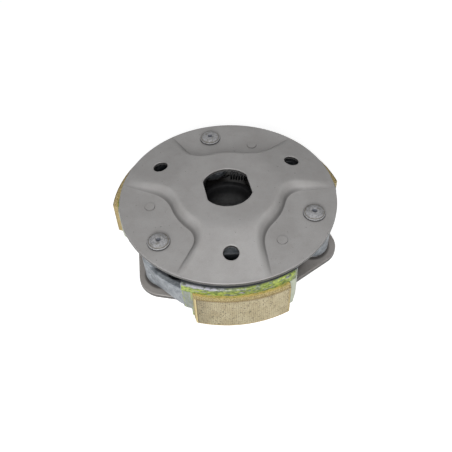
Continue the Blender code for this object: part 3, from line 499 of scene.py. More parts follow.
class Shading(Nodes):
    """A material whose colour and bump grow from layer to layer."""

    def __init__(self, name):
        self.material = bpy.data.materials.new(name)
        super().__init__(self.material)
        self.at = self.node("Attribute", attribute_name="own_place")["Vector"]
        self.colour = self.bump = None

    def cover(self, share, over):
        """Lays another colour over what is there."""
        self.colour = self.mix(share, self.colour, over)

    def stain(self, share, strength, over):
        self.cover(self.times(share, strength), over)

    def tint(self, value, low, high):
        self.colour = self.tinted(self.colour, value, low, high)

    def stretched(self, x=1.0, y=1.0, z=1.0):
        return self.node("Mapping", {"Vector": self.at, "Scale": (x, y, z)})[0]

    def noise(self, size, detail=3.0, roughness=0.55, at=None, distortion=0.0):
        """Noise whose features are about this many millimetres wide."""
        inputs = {"Vector": at or self.at, "Scale": 1.0 / (size * MM), "Detail": detail}
        inputs |= {"Roughness": roughness, "Distortion": distortion}
        return self.node("TexNoise", inputs)["Fac"]

    def raise_by(self, height, depth):
        """Adds a bump of this depth in millimetres, where height goes from 0 to 1."""
        inputs = {"Height": height, "Distance": depth * MM, "Strength": 1.0}
        if self.bump is not None:
            inputs["Normal"] = self.bump
        self.bump = self.node("Bump", inputs)["Normal"]

    def split(self, vector=None):
        return self.node("SeparateXYZ", {"Vector": vector or self.at})

    def radius(self, centre_x=0.0, centre_y=0.0):
        """Distance from an upright axis, and the turn about it in radians."""
        x, y, _ = self.split()
        x, y = self.plus(x, -centre_x), self.plus(y, -centre_y)
        square = self.plus(self.times(x, x), self.times(y, y))
        return self.math("SQRT", square), self.math("ARCTAN2", y, x)

    def away(self, centre_x=0.0, centre_y=0.0):
        return self.radius(centre_x, centre_y)[0]

    def band(self, value, start, end, soft):
        """1 between start and end, 0 outside, with soft edges."""
        rise = self.ramp(value, start - soft / 2, start + soft / 2)
        return self.times(rise, self.ramp(value, end + soft / 2, end - soft / 2))

    def upright(self):
        """1 on faces that look straight up or down, and 0 on plumb ones."""
        normal = self.node("NewGeometry")["Normal"]
        return self.math("ABSOLUTE", self.split(normal)[2])

    def facing(self, direction):
        """1 on faces that look in a direction of the piece's own, -1 on those that look away."""
        normal = self.node("TexCoord")["Normal"]
        turn = self.node("Attribute", attribute_name="own_turn")["Fac"]
        turned_back = {"Vector": normal, "Angle": self.times(turn, -1.0)}
        own = self.node("VectorRotate", turned_back, rotation_type="Z_AXIS")[0]
        return self.node("VectorMath", {0: own, 1: direction}, operation="DOT_PRODUCT")["Value"]

    def done(self, roughness, metallic=0.0, specular=0.5):
        inputs = self.tree.nodes["Principled BSDF"].inputs
        self.feed(inputs["Base Color"], self.colour)
        self.feed(inputs["Roughness"], roughness)
        self.feed(inputs["Metallic"], metallic)
        self.feed(inputs["Specular IOR Level"], specular)
        self.feed(inputs["Normal"], self.bump)
        return self.material


def sheet_material(name, light, dark, stain, pressed=False):
    """Matt pressed steel: fine grain, soft cloudy patches, and shorn edges with upright scratches,
    darkened partly as painted shade. The cover also gets painted shade and highlight on the star's
    steps, in its holes and round its rivets; the base gets painted shade under the cover and round the
    bosses, and painted light from left to right.
    """

    def times_dark(factor):
        return tuple(c * factor for c in dark)

    s = Shading(name)
    clouds = s.noise(22, 4.0, 0.6)
    patches = s.noise(6, 3.0, 0.6)
    grain = s.noise(0.45, 2.0, 0.7)
    s.colour = s.mottled(clouds, dark, light)
    s.stain(s.ramp(patches, 0.5, 0.75), 0.3, stain)
    s.tint(grain, 0.86, 1.12)
    specks = s.ramp(s.noise(1.6, 1.0, 0.5), 0.755, 0.79)
    s.stain(specks, 0.55, times_dark(0.3))
    # Shorn plumb faces: real upright scratches, and a darker tone that is partly painted shade
    shorn = s.ramp(s.upright(), 0.28, 0.1)
    scores = s.noise(0.5, 2.0, 0.7, s.stretched(z=0.12))
    s.cover(shorn, s.tinted(s.mix(0.6, s.colour, dark), scores, 0.12, 0.48))
    if pressed:
        # Painted shade in the crease at the star's foot, and a painted highlight on its brow
        step = s.node("Attribute", attribute_name="step")["Fac"]
        painted_crease_shade = s.times(step, -0.74, clamp=True)
        s.cover(painted_crease_shade, times_dark(0.25))
        s.tint(s.times(step, 0.14, clamp=True), 1.0, 2.0)
        # Painted shade on the walls of the cover's holes
        hole_wall_shade = s.times(shorn, s.ramp(s.away(), 56 * MM, 53 * MM))
        s.stain(hole_wall_shade, 0.7, times_dark(0.1))
        for spot in STOP_SPOTS:
            sheared = s.band(s.away(*spot), BUMP_RADIUS - BUMP_WALL, BUMP_RADIUS + 0.1 * MM, 0.1 * MM)
            s.stain(sheared, 0.6, times_dark(0.3))
        # Painted contact shadow round each rivet's head
        for spot in PIVOT_SPOTS:
            rivet_contact_shade = s.ramp(s.away(*spot), PIN_HEAD_RADIUS + 0.5 * MM, PIN_HEAD_RADIUS)
            s.stain(rivet_contact_shade, 0.75, times_dark(0.3))
    else:
        # Painted light: lighter on the left and darker on the right
        s.tint(s.ramp(s.split()[0], -55 * MM, 60 * MM), 1.16, 0.86)
        upper = s.ramp(s.split()[2], BASE_UNDERSIDE, BASE_TOP)
        # Painted shade on the upper face under the cover
        s.stain(s.times(s.ramp(s.away(), 54.5 * MM, 49 * MM), upper), 0.9, times_dark(0.12))
        # Painted contact shadow round the foot of each boss
        for spot in PIVOT_SPOTS:
            s.stain(s.times(s.ramp(s.away(*spot), 11.9 * MM, 10.4 * MM), upper), 0.8, times_dark(0.15))
    s.raise_by(grain, 0.05)
    s.raise_by(patches, 0.05)
    s.raise_by(s.times(scores, shorn), 0.1)
    return s.done(s.spread(s.noise(3), 0.42, 0.54), 0.15)


def turned_material(
    name, dark, light, lines=0.35, rough=(0.3, 0.55), metallic=0.75, specular=0.5, bore=False
):
    """Turned steel with faint tool lines and dull blotches."""
    s = Shading(name)
    blotches = s.noise(2.2, 4.0, 0.65)
    rings = s.noise(lines, 1.0, 0.5, s.stretched(0.04, 0.04))
    s.colour = s.mottled(blotches, dark, light)
    if bore:
        # Painted light: paler down in the bore, where light falls through the cover's hole
        low = s.ramp(s.split()[2], HUB_TOP - 4 * MM, SPLINE_LENGTH)
        s.cover(low, s.mottled(blotches, (0.24, 0.24, 0.245), (0.32, 0.32, 0.325)))
    s.tint(rings, 0.85, 1.1)
    s.raise_by(rings, 0.03)
    s.raise_by(s.noise(0.5), 0.03)
    return s.done(s.spread(blotches, *rough), metallic, specular)


def rivet_material():
    """Zinc-plated, formed by a rolling tool: rough rings, a dark dimple, a stained groove, and painted
    shade under the head's rim.
    """
    s = Shading("rivet_zinc")
    radius = s.away()
    height = s.split()[2]
    blotches = s.noise(0.9, 4.0, 0.7)
    coarse = s.noise(2.5, 2.0, 0.6)
    s.colour = s.mottled(blotches, (0.165, 0.165, 0.17), (0.38, 0.38, 0.39), 0.3, 0.72)
    s.cover(s.ramp(coarse, 0.52, 0.72), (0.17, 0.165, 0.155))
    head = s.ramp(height, COVER_TOP, COVER_TOP + 0.2 * MM)
    dimple = s.times(s.ramp(radius, 1.75 * MM, 1.0 * MM), head)
    s.stain(dimple, 0.9, (0.05, 0.055, 0.07))
    groove = s.times(s.ramp(radius, 5.1 * MM, 5.45 * MM), s.ramp(radius, 5.95 * MM, 5.6 * MM))
    s.cover(s.times(groove, blotches, 1.5, clamp=True), (0.1, 0.085, 0.06))
    # Painted shade under the head's rim
    undercut_shade = s.times(head, s.ramp(height, COVER_TOP + 0.95 * MM, COVER_TOP + 0.65 * MM))
    s.stain(undercut_shade, 0.85, (0.03, 0.03, 0.032))
    s.raise_by(blotches, 0.16)
    s.raise_by(coarse, 0.2)
    return s.done(s.spread(blotches, 0.38, 0.58), 0.1, 0.35)


def casting_material():
    """Rough die casting, with a streak of marking paint over the lining's land, and painted shade under
    the cover, in the pocket and along its foot.
    """
    s = Shading("cast_metal_rough")
    radius, turn = s.radius(-PIVOT_PITCH_RADIUS)
    height = s.split()[2]
    degrees = s.times(turn, 180.0 / math.pi)
    clouds = s.noise(5, 5.0, 0.65)
    pits = s.noise(0.8, 4.0, 0.7)
    flow = s.noise(1.6, 3.0, 0.6, s.stretched(z=0.3), 0.6)
    s.colour = s.mottled(clouds, (0.175, 0.192, 0.21), (0.33, 0.352, 0.375), 0.34, 0.66)
    s.stain(s.ramp(flow, 0.55, 0.7), 0.5, (0.43, 0.455, 0.48))
    s.tint(pits, 0.6, 1.3)
    pocks = s.ramp(s.noise(1.1, 2.0, 0.6), 0.39, 0.31)
    s.stain(pocks, 0.6, (0.12, 0.13, 0.15))
    worn = s.ramp(s.node("NewGeometry")["Pointiness"], 0.53, 0.6)
    s.stain(worn, 0.5, (0.62, 0.64, 0.66))
    # Painted shade inside the pocket and under the cover, on upward faces too, but not on the inner
    # wall's top, which light reaches through the cover's hole (dull is 0 there)
    level = s.ramp(s.facing((0.0, 0.0, 1.0)), 0.7, 0.95)
    dull = s.inverse(s.times(level, s.ramp(radius, 42.2 * MM, 41.2 * MM)))
    under_cover_shade = s.times(s.ramp(radius, 61.5 * MM, 60.0 * MM), s.ramp(height, 14 * MM, 20 * MM))
    under_cover_shade = s.times(under_cover_shade, s.spread(dull, 0.35, 0.9))
    s.cover(under_cover_shade, (0.045, 0.05, 0.058))
    upward_face_shade = s.times(level, s.times(s.ramp(radius, 61.6 * MM, 60.2 * MM), dull))
    s.stain(upward_face_shade, 0.75, (0.04, 0.042, 0.046))
    # Painted shadow along the foot, where it meets the base
    rough_foot = s.plus(height, s.times(pits, 0.6 * MM))
    foot = s.ramp(rough_foot, BOSS_BOTTOM + 1.3 * MM, BOSS_BOTTOM + 0.7 * MM)
    s.stain(s.times(foot, s.ramp(degrees, 25.0, 20.0)), 0.85, (0.03, 0.03, 0.032))
    bend = s.plus(height, s.uneven(clouds, 3.0 * MM))
    seam = s.times(s.band(bend, 25.7 * MM, 26.3 * MM, 0.4 * MM), s.ramp(degrees, 16.0, 11.0))
    s.stain(seam, s.spread(pits, 0.3, 0.9), (0.08, 0.085, 0.095))
    # The land, where the paint is
    ragged = s.uneven(s.noise(1.6, 4.0, 0.7), 4.0 * MM)
    ragged_height = s.plus(height, ragged)
    reach = s.away(*DRUM_CENTRE)
    outer = s.ramp(reach, 63.9 * MM, 64.6 * MM)
    wall = s.times(outer, s.ramp(degrees, 25.0, 25.4))
    upright_noise = s.noise(1.4, 3.0, 0.6, s.stretched(z=0.25))
    smear = s.spread(s.ramp(upright_noise, 0.35, 0.65), 0.35, 0.85)
    s.stain(wall, smear, (0.19, 0.212, 0.148))
    seam = s.math("MAXIMUM", s.band(degrees, 25.2, 25.9, 0.4), s.band(degrees, 29.4, 31.2, 0.6))
    seam = s.times(seam, wall, s.ramp(upright_noise, 0.38, 0.6))
    s.stain(seam, 0.7, (0.36, 0.42, 0.09))
    streaks = s.noise(1.7, 4.0, 0.7, s.stretched(0.3, 0.3, 1.5), 0.4)
    above = s.ramp(ragged_height, 25.4 * MM, 26.6 * MM)
    bare_top = s.ramp(ragged_height, 29.2 * MM, 30.4 * MM)
    bare = s.times(bare_top, s.spread(s.ramp(degrees, 56.0, 40.0), 0.0, 0.95))
    paint = s.times(above, s.inverse(bare), s.ramp(streaks, 0.34, 0.5))
    hue = s.ramp(s.noise(1.0, 3.0, 0.65, s.stretched(0.5, 0.5)), 0.36, 0.64)
    lime = s.mix(hue, (0.1, 0.155, 0.03), (0.37, 0.45, 0.085))
    lime = s.tinted(lime, s.band(degrees, 44.0, 64.0, 8.0), 1.0, 0.74)
    flakes = s.ramp(s.noise(1.3, 3.0, 0.7, s.stretched(0.5, 0.5)), 0.42, 0.56)
    bared = s.mix(flakes, (0.06, 0.065, 0.06), (0.3, 0.295, 0.345))
    s.stain(above, s.times(wall, 0.9), bared)
    s.stain(s.times(paint, wall), 0.95, lime)
    # Painted shade on its upper faces and the lip below them, under the cover
    rough_height = s.plus(height, s.uneven(pits, 0.8 * MM))
    shaded = s.times(s.ramp(rough_height, 30.2 * MM, 30.5 * MM), s.inverse(outer), dull)
    s.stain(shaded, 0.85, (0.035, 0.037, 0.04))
    nose = s.times(s.ramp(degrees, 77.4, 78.2), s.ramp(radius, 56 * MM, 60 * MM), s.inverse(above))
    s.stain(nose, s.spread(clouds, 0.4, 1.0), (0.56, 0.6, 0.47))
    s.raise_by(pits, 0.16)
    s.raise_by(flow, 0.2)
    return s.done(s.spread(clouds, 0.42, 0.6), 0.25)


def lining_material():
    """Woven friction stuff: fine upright threads, specks, and a more golden sawn edge, with painted
    light on the start's end face and along the face.
    """
    s = Shading("friction_weave")
    depth, turn = s.radius(*DRUM_CENTRE)
    height = s.split()[2]
    degrees = s.times(turn, 180.0 / math.pi)
    along = s.times(turn, DRUM_RADIUS)
    wobble = s.times(s.noise(3, 2.0), 0.5 * MM)
    thread = s.math("SINE", s.times(s.plus(along, wobble), 2 * math.pi / (1.15 * MM)))
    weft = s.math("SINE", s.times(s.plus(height, wobble), 2 * math.pi / (1.3 * MM)))
    weave = s.plus(s.times(thread, 0.24), s.times(weft, 0.13))
    weave = s.plus(weave, 0.5, clamp=True)
    fibre = s.noise(0.6, 3.0, 0.7)
    clouds = s.noise(7, 3.0, 0.6)
    s.colour = s.mottled(clouds, (0.37, 0.315, 0.2), (0.445, 0.39, 0.26))
    s.tint(weave, 0.74, 1.12)
    s.tint(fibre, 0.55, 1.4)
    specks = s.ramp(s.noise(0.9, 1.0, 0.5), 0.6, 0.66)
    s.stain(specks, 0.75, (0.1, 0.085, 0.06))
    # Painted light: the face darker towards the lining's start and lighter towards its end
    s.tint(s.ramp(degrees, 44.0, 34.0), 1.0, 0.74)
    s.tint(s.ramp(degrees, 50.0, 74.0), 1.0, 1.2)
    low_edge = s.ramp(height, SKIRT_BOTTOM + 1.4 * MM, SKIRT_BOTTOM + 0.4 * MM)
    golden = s.math("MAXIMUM", low_edge, s.ramp(degrees, LINING_END_DEG - 1.6, LINING_END_DEG - 0.2))
    s.stain(golden, 0.55, (0.46, 0.34, 0.13))
    # Painted light: the end face at the start, lit from the side, is made pale
    start = math.radians(LINING_START_DEG)
    lit_end_face = s.ramp(s.facing((math.sin(start), -math.cos(start), 0.0)), 0.6, 0.8)
    by_end = s.ramp(degrees, LINING_START_DEG + 0.75, LINING_START_DEG + 0.5)
    lit_end_face = s.math("MAXIMUM", lit_end_face, by_end)
    frayed = s.band(degrees, LINING_START_DEG + 0.7, LINING_START_DEG + 1.1, 0.3)
    s.stain(frayed, 0.6, (0.12, 0.09, 0.05))
    pale = s.tinted((0.7, 0.58, 0.3), fibre, 0.7, 1.2)
    s.stain(lit_end_face, 0.85, pale)
    sawn = s.ramp(s.upright(), 0.5, 0.8)
    depth = s.plus(depth, s.uneven(fibre, 0.9 * MM))
    plain = s.mottled(fibre, (0.27, 0.2, 0.09), (0.6, 0.49, 0.26), 0.38, 0.62)
    yellow = s.times(s.band(depth, 66.0 * MM, 67.6 * MM, 0.6 * MM), 0.65)
    layers = s.mix(yellow, plain, (0.5, 0.37, 0.1))
    slopped = s.times(s.ramp(depth, 67.4 * MM, 66.9 * MM), s.ramp(s.noise(2.6, 3.0), 0.5, 0.6))
    layers = s.mix(s.times(slopped, 0.8), layers, (0.17, 0.23, 0.06))
    layers = s.mix(s.times(s.ramp(depth, 69.2 * MM, 69.6 * MM), 0.5), layers, (0.11, 0.075, 0.035))
    s.cover(sawn, layers)
    uneven = s.uneven(fibre, 3.4 * MM)
    rim = s.math("SUBTRACT", s.plus(height, uneven), SKIRT_BOTTOM + LINING_HEIGHT)
    scorched = s.times(s.ramp(rim, -0.8 * MM, -0.2 * MM), s.inverse(sawn), s.inverse(lit_end_face))
    s.stain(scorched, 0.62, (0.13, 0.09, 0.045))
    s.raise_by(weave, 0.12)
    s.raise_by(fibre, 0.2)
    return s.done(0.88, specular=0.25)


def glue_material():
    s = Shading("bond_glue")
    lumps = s.noise(0.8, 3.0, 0.6)
    s.colour = s.mottled(lumps, (0.25, 0.185, 0.04), (0.45, 0.35, 0.09), 0.35, 0.65)
    slopped = s.ramp(s.noise(2.2, 3.0), 0.52, 0.62)
    s.stain(slopped, 0.7, (0.27, 0.34, 0.07))
    s.raise_by(lumps, 0.2)
    return s.done(0.45)


def rubber_material():
    s = Shading("rubber_matt")
    dust = s.noise(2.5, 4.0, 0.65)
    fine = s.noise(0.3, 2.0)
    s.colour = s.mottled(dust, (0.016, 0.016, 0.017), (0.05, 0.05, 0.048), 0.5, 0.8)
    s.raise_by(fine, 0.04)
    return s.done(s.spread(dust, 0.6, 0.85), specular=0.4)


def bronze_material():
    s = Shading("bronze_oiled")
    stains = s.noise(3, 4.0, 0.6)
    pores = s.noise(0.35, 2.0)
    s.colour = s.mottled(stains, (0.3, 0.17, 0.06), (0.56, 0.37, 0.16))
    s.raise_by(pores, 0.05)
    s.tint(pores, 0.85, 1.1)
    return s.done(s.spread(stains, 0.3, 0.5), 0.9)


finishes = {
    "pressed_steel_cover": sheet_material(
        "cover_steel", (0.31, 0.303, 0.299), (0.265, 0.257, 0.252), (0.245, 0.232, 0.22), True
    ),
    "pressed_steel_base": sheet_material(
        "base_steel", (0.3, 0.282, 0.27), (0.24, 0.225, 0.212), (0.21, 0.192, 0.174)
    ),
    "turned_steel": turned_material("turned_steel_zinc", (0.26, 0.26, 0.27), (0.4, 0.4, 0.41)),
    # The hub's near-black steel is painted shade under the cover
    "hub_steel": turned_material(
        "hub_steel_painted_shade", (0.01, 0.01, 0.011), (0.018, 0.018, 0.019), 0.6, (0.6, 0.8), 0.1, 0.15, True
    ),
    "rivet": rivet_material(),
    "cast_metal": casting_material(),
    "friction_lining": lining_material(),
    "glue": glue_material(),
    "bronze": bronze_material(),
    "rubber": rubber_material(),
    # Black spring steel, darkened further as painted shade
    "spring_steel": turned_material("spring_steel_black_painted_shade", (0.016, 0.016, 0.017), (0.035, 0.035, 0.037)),
}


# Placing


def station_matrix(number):
    place = Matrix.Translation((*PIVOT_SPOTS[number - 1], 0.0))
    return place @ Matrix.Rotation(math.radians(FACINGS[number - 1]), 4, "Z")


def placed(name, mesh, finish, matrix):
    """A piece with its place in its mesh. Its materials go by where each point was before the move."""
    mesh = mesh.copy()
    note(mesh, "own_place", rows(mesh.vertices, "co"))
    note(mesh, "own_turn", np.full(len(mesh.vertices), matrix.to_euler().z))
    mesh.transform(matrix)
    mesh.materials.clear()
    mesh.materials.append(finishes[finish])
    return linked(name, mesh)


def put(name, mesh, finish, body, nodes=(), matrix=Matrix.Identity(4)):
    """A piece in place, with its finish, on its body, in the stead of its CAD nodes."""
    obj = placed(name, mesh, finish, matrix)
    if nodes:
        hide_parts(*nodes)
    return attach(obj, body)


# Cover plate


PANEL_CORNERS = [
    polar(COVER_RADIUS + STEP_RUN, -52.0),
    polar(36.0 * MM, -40.1),
    polar(35.0 * MM, -8.6),
    polar(35.5 * MM, 19.9),
    polar(COVER_RADIUS + STEP_RUN, 21.5),
]
PANEL_EDGE = divided(rounded(PANEL_CORNERS, PANEL_CORNER_RADIUS, 10), 1.4 * MM)


def panel_gap(points):
    """How far each point lies from the nearest flat panel, 0 on one."""
    nearest = np.full(len(points), 1e9)
    for facing in map(math.radians, FACINGS):
        across = points[:, 0] * math.cos(facing) + points[:, 1] * math.sin(facing)
        along = points[:, 1] * math.cos(facing) - points[:, 0] * math.sin(facing)
        local = np.stack((across, along), 1)
        gap = reach_of(local, PANEL_EDGE, False)
        gap[crossings(local, PANEL_EDGE, False)] = 0.0
        nearest = np.minimum(nearest, gap)
    return nearest


def cone_height(points):
    """How high the star would stand if it had no panels between its arms."""
    radius = np.hypot(points[:, 0], points[:, 1])
    slope = (STAR_FOOT_RADIUS - radius) / (STAR_FOOT_RADIUS - PLATEAU_RADIUS)
    slope = np.clip(slope, 0.0, 1.2)
    soft = SHOULDER_BLEND / (STAR_FOOT_RADIUS - PLATEAU_RADIUS)
    shoulder = np.clip((slope - 1.0 + soft) / (2 * soft), 0.0, 1.0)
    full = np.where(slope < 1.0 + soft, slope - soft * shoulder**2, 1.0)
    return STAR_HEIGHT * np.clip(full, 0.0, 1.0)


def star_height(points):
    gap = panel_gap(points)
    blended = gap**2 / (2 * STEP_FOOT_BLEND)
    foot = np.where(gap < STEP_FOOT_BLEND, blended, gap - STEP_FOOT_BLEND / 2)
    return cone_height(points) * np.sin(np.clip(foot / STEP_RUN, 0.0, 1.0) * math.pi / 2)


def cover_height(points):
    height = COVER_TOP + star_height(points)
    for x, y in STOP_SPOTS:
        gap = np.hypot(points[:, 0] - x, points[:, 1] - y)
        share = np.clip((BUMP_RADIUS - gap) / BUMP_WALL, 0.0, 1.0)
        height = height + BUMP_HEIGHT * share * share * (3 - 2 * share)
    return height


def key_hole():
    corner = math.degrees(math.acos(KEY_HOLE_HALF_FLATS / KEY_HOLE_RADIUS))
    far = arc(KEY_HOLE_RADIUS, corner, 180.0 - corner, step_deg=3.0)
    flat = divided([far[-1], (-far[0][0], -far[0][1])], 1.0 * MM)[1:-1]
    half = far + flat
    return half + [(-x, -y) for x, y in half]


def mark_steps(mesh):
    """Notes painted shade for the crease at the star's foot, below 0, and a painted highlight for its
    brow, above 0.
    """
    plan = rows(mesh.vertices, "co")[:, :2].astype(float)
    gap = panel_gap(plan)
    share = gap / STEP_RUN
    crease = np.exp(-(((share - 0.1) / 0.2) ** 2)) * np.clip(gap / (0.2 * MM), 0.0, 1.0)
    brow = np.exp(-(((share - 0.8) / 0.3) ** 2))
    marks = (brow - crease) * np.sqrt(cone_height(plan) / STAR_HEIGHT)
    note(mesh, "step", marks)
    return mesh


def cover_mesh():
    rim = circle(COVER_RADIUS, sides=240)
    holes = [key_hole()]
    lines = []
    for facing in FACINGS:
        holes.append(circle(PIN_SPIGOT_RADIUS + SEAT_GAP, polar(PIVOT_PITCH_RADIUS, facing)))
        holes.append(circle(LOBE_HOLE_RADIUS, polar(LOBE_HOLE_PITCH_RADIUS, facing + LOBE_HOLE_DEG)))
        for distance in STEP_LINES:
            line = [
                polar(math.hypot(x, y), facing + math.degrees(math.atan2(y, x)))
                for x, y in beside(PANEL_EDGE, distance)
            ]
            lines.append((line, False))
    for spot in STOP_SPOTS:
        lines += [(circle(radius, spot), True) for radius in BUMP_LINES]
    levels = (cover_height, COVER_UNDERSIDE, COVER_THICKNESS)
    return mark_steps(sheet_mesh("cover_sheet", rim, holes, lines, *levels, 1.5 * MM))


cover, base, steel = "pressed_steel_cover", "pressed_steel_base", "turned_steel"
put("cover_plate_pressed", cover_mesh(), cover, "carrier", ["cover_plate"])


# Base plate and hub


def base_outline():
    tangent = math.degrees(math.acos((BASE_DISC_RADIUS - BASE_LOBE_RADIUS) / PIVOT_PITCH_RADIUS))
    points = []
    for facing in FACINGS:
        facing += BASE_LOBE_LEAD_DEG
        lobe = polar(PIVOT_PITCH_RADIUS, facing)
        points += arc(BASE_LOBE_RADIUS, facing - tangent, facing + tangent, lobe, 3.0)
        points += arc(BASE_DISC_RADIUS, facing + tangent, facing + STATION_STEP_DEG - tangent)
    return divided(points + points[:1], 1.5 * MM)[:-1]


def base_mesh():
    holes = [circle(HUB_RADIUS + SEAT_GAP, sides=96)]
    holes += [circle(PIN_SPIGOT_RADIUS + SEAT_GAP, spot) for spot in PIVOT_SPOTS]
    holes += [circle(STOP_PIN_RADIUS + SEAT_GAP, spot) for spot in STOP_SPOTS]
    levels = (lambda points: np.full(len(points), BASE_TOP), BASE_UNDERSIDE, BASE_TOP - BASE_UNDERSIDE)
    return sheet_mesh("base_sheet", base_outline(), holes, [], *levels, 4.0 * MM)


def hub_mesh():
    flange_top = BASE_UNDERSIDE - SEAT_GAP
    weld = BASE_TOP + SEAT_GAP
    blank_bore = SPLINE_MINOR_RADIUS - 1.0 * MM
    profile = [
        (blank_bore, 0.0),
        (HUB_FLANGE_RADIUS - HUB_EDGE, 0.0),
        (HUB_FLANGE_RADIUS, HUB_EDGE),
        (HUB_FLANGE_RADIUS, flange_top),
        (HUB_RADIUS, flange_top),
        (HUB_RADIUS, weld),
        (HUB_RADIUS + 2.4 * MM, weld),
        (HUB_RADIUS + 2.1 * MM, weld + 0.8 * MM),
        (HUB_RADIUS + 1.0 * MM, weld + 1.7 * MM),
        (HUB_RADIUS, weld + 2.4 * MM),
        (HUB_RADIUS, HUB_TOP - HUB_EDGE),
        (HUB_RADIUS - HUB_EDGE, HUB_TOP),
        (HUB_BORE_RADIUS + HUB_EDGE, HUB_TOP),
        (HUB_BORE_RADIUS, HUB_TOP - HUB_EDGE),
        (HUB_BORE_RADIUS, SPLINE_LENGTH),
        (blank_bore, SPLINE_LENGTH),
    ]
    pitch = 360.0 / SPLINE_TEETH
    root = SPLINE_MAJOR_RADIUS
    flank = [(0.28, SPLINE_MINOR_RADIUS), (0.185, root - 0.2 * MM), (0.15, root)]
    groove = [(-share, radius) for share, radius in flank] + flank[::-1]
    spline = [
        polar(radius, tooth * pitch + pitch * share)
        for tooth in range(SPLINE_TEETH)
        for share, radius in groove
    ]
    bm = bmesh.new()
    heights = (-1.0 * MM, SPLINE_LENGTH + 1.0 * MM)
    rings = [[bm.verts.new((x, y, z)) for x, y in spline] for z in heights]
    return less(turned("hub_turned", profile, 96, 0.3 * MM, True), skinned(bm, "spline", rings))


put("drive_plate_pressed", base_mesh(), base, "carrier", ["drive_plate"])
put("hub_turned", hub_mesh(), "hub_steel", "carrier", ["hub"])


# Pins, washers, bushes, stop pins and dampers


def pin_mesh():
    """Shouldered pin with a rolled-over head: rim, shallow groove, crown and dimple."""
    tail_top = BASE_UNDERSIDE - SEAT_GAP
    tail_bottom = tail_top - PIN_TAIL_HEIGHT
    head = COVER_TOP + SEAT_GAP * 0.5
    shape = [
        (0.0, tail_bottom + 0.3 * MM),
        (1.2 * MM, tail_bottom),
        (PIN_SPIGOT_RADIUS, tail_bottom),
        (PIN_TAIL_RADIUS, tail_top - PIN_TAIL_HEIGHT / 2),
        (PIN_TAIL_RADIUS, tail_top),
        (PIN_SPIGOT_RADIUS, tail_top),
        (PIN_SPIGOT_RADIUS, BASE_TOP + SEAT_GAP),
        (PIN_RADIUS, BASE_TOP + SEAT_GAP),
        (PIN_RADIUS, COVER_UNDERSIDE - SEAT_GAP),
        (PIN_SPIGOT_RADIUS, COVER_UNDERSIDE - SEAT_GAP),
        (PIN_SPIGOT_RADIUS, head),
        (PIN_HEAD_RADIUS - 0.3 * MM, head),
        (PIN_HEAD_RADIUS, head + 0.35 * MM),
        (PIN_HEAD_RADIUS, head + 0.85 * MM),
    ]
    crown = [(5.95, 1.2), (5.5, 1.15), (5.2, 1.4), (4.3, 1.9), (3.2, 2.25)]
    crown += [(1.7, 2.42), (1.1, 1.95), (0.6, 1.6), (0.0, 1.55)]
    shape += [(radius * MM, head + rise * MM) for radius, rise in crown]
    return turned("pin_turned", shape, 72, 0.25 * MM)


def ring_mesh(name, inner, outer, bottom, top, fillet):
    shape = [(inner, bottom), (outer, bottom), (outer, top), (inner, top)]
    return turned(name, shape, 72, fillet, True)


def stop_mesh():
    bottom = BASE_TOP + SEAT_GAP
    top = COVER_UNDERSIDE + 0.7 * MM
    shape = [
        (0.0, BASE_UNDERSIDE),
        (STOP_PIN_RADIUS, BASE_UNDERSIDE),
        (STOP_PIN_RADIUS, bottom),
        (STOP_COLLAR_RADIUS, bottom),
        (STOP_COLLAR_RADIUS, bottom + STOP_COLLAR_HEIGHT),
        (STOP_PIN_RADIUS, bottom + STOP_COLLAR_HEIGHT),
        (STOP_PIN_RADIUS, top),
        (0.0, top),
    ]
    return turned("stop_turned", shape, 48, 0.3 * MM)


def damper_mesh():
    """A rubber sleeve with two shallow ribs and soft ends."""
    bottom = BASE_TOP + STOP_COLLAR_HEIGHT + 2 * SEAT_GAP
    top = COVER_UNDERSIDE - 2 * SEAT_GAP
    inner = STOP_PIN_RADIUS + 0.05 * MM
    shape = [(inner, bottom), (DAMPER_RADIUS - 0.25 * MM, bottom)]
    steps = 24
    for i in range(steps + 1):
        share = i / steps
        swell = 0.12 * MM * math.cos(share * 6 * math.pi)
        height = bottom + 0.4 * MM + (top - bottom - 0.8 * MM) * share
        shape.append((DAMPER_RADIUS - 0.13 * MM + swell, height))
    shape += [(DAMPER_RADIUS - 0.25 * MM, top), (inner, top)]
    return turned("damper_moulded", shape, 48, 0.2 * MM, True)


# Shoe and lining


def casting_mesh():
    """The shoe's solid with its edges rounded and its skin roughened like a die casting's."""
    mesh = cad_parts["shoe_1"].data.copy()
    mesh.transform(station_matrix(1).inverted())
    bm = bmesh.new()
    bm.from_mesh(mesh)
    bmesh.ops.remove_doubles(bm, verts=bm.verts, dist=1e-6)
    bm.to_mesh(mesh)
    bm.free()
    made = with_modifiers(
        mesh,
        ("REMESH", {"mode": "VOXEL", "voxel_size": CASTING_VOXEL, "adaptivity": 0.0}),
        ("SMOOTH", {"factor": 0.5, "iterations": 4}),
    )
    places = rows(made.vertices, "co")
    normals = rows(made.vertex_normals, "vector")
    lift = np.array([
        noise.noise(Vector(p) / (3.5 * MM)) * 0.6 + noise.noise(Vector(p) / (1.3 * MM)) * 0.4
        for p in places.tolist()
    ])
    places += normals * (lift * CASTING_ROUGHNESS)[:, None].astype(np.float32)
    made.vertices.foreach_set("co", places.ravel())
    made.shade_smooth()
    return made


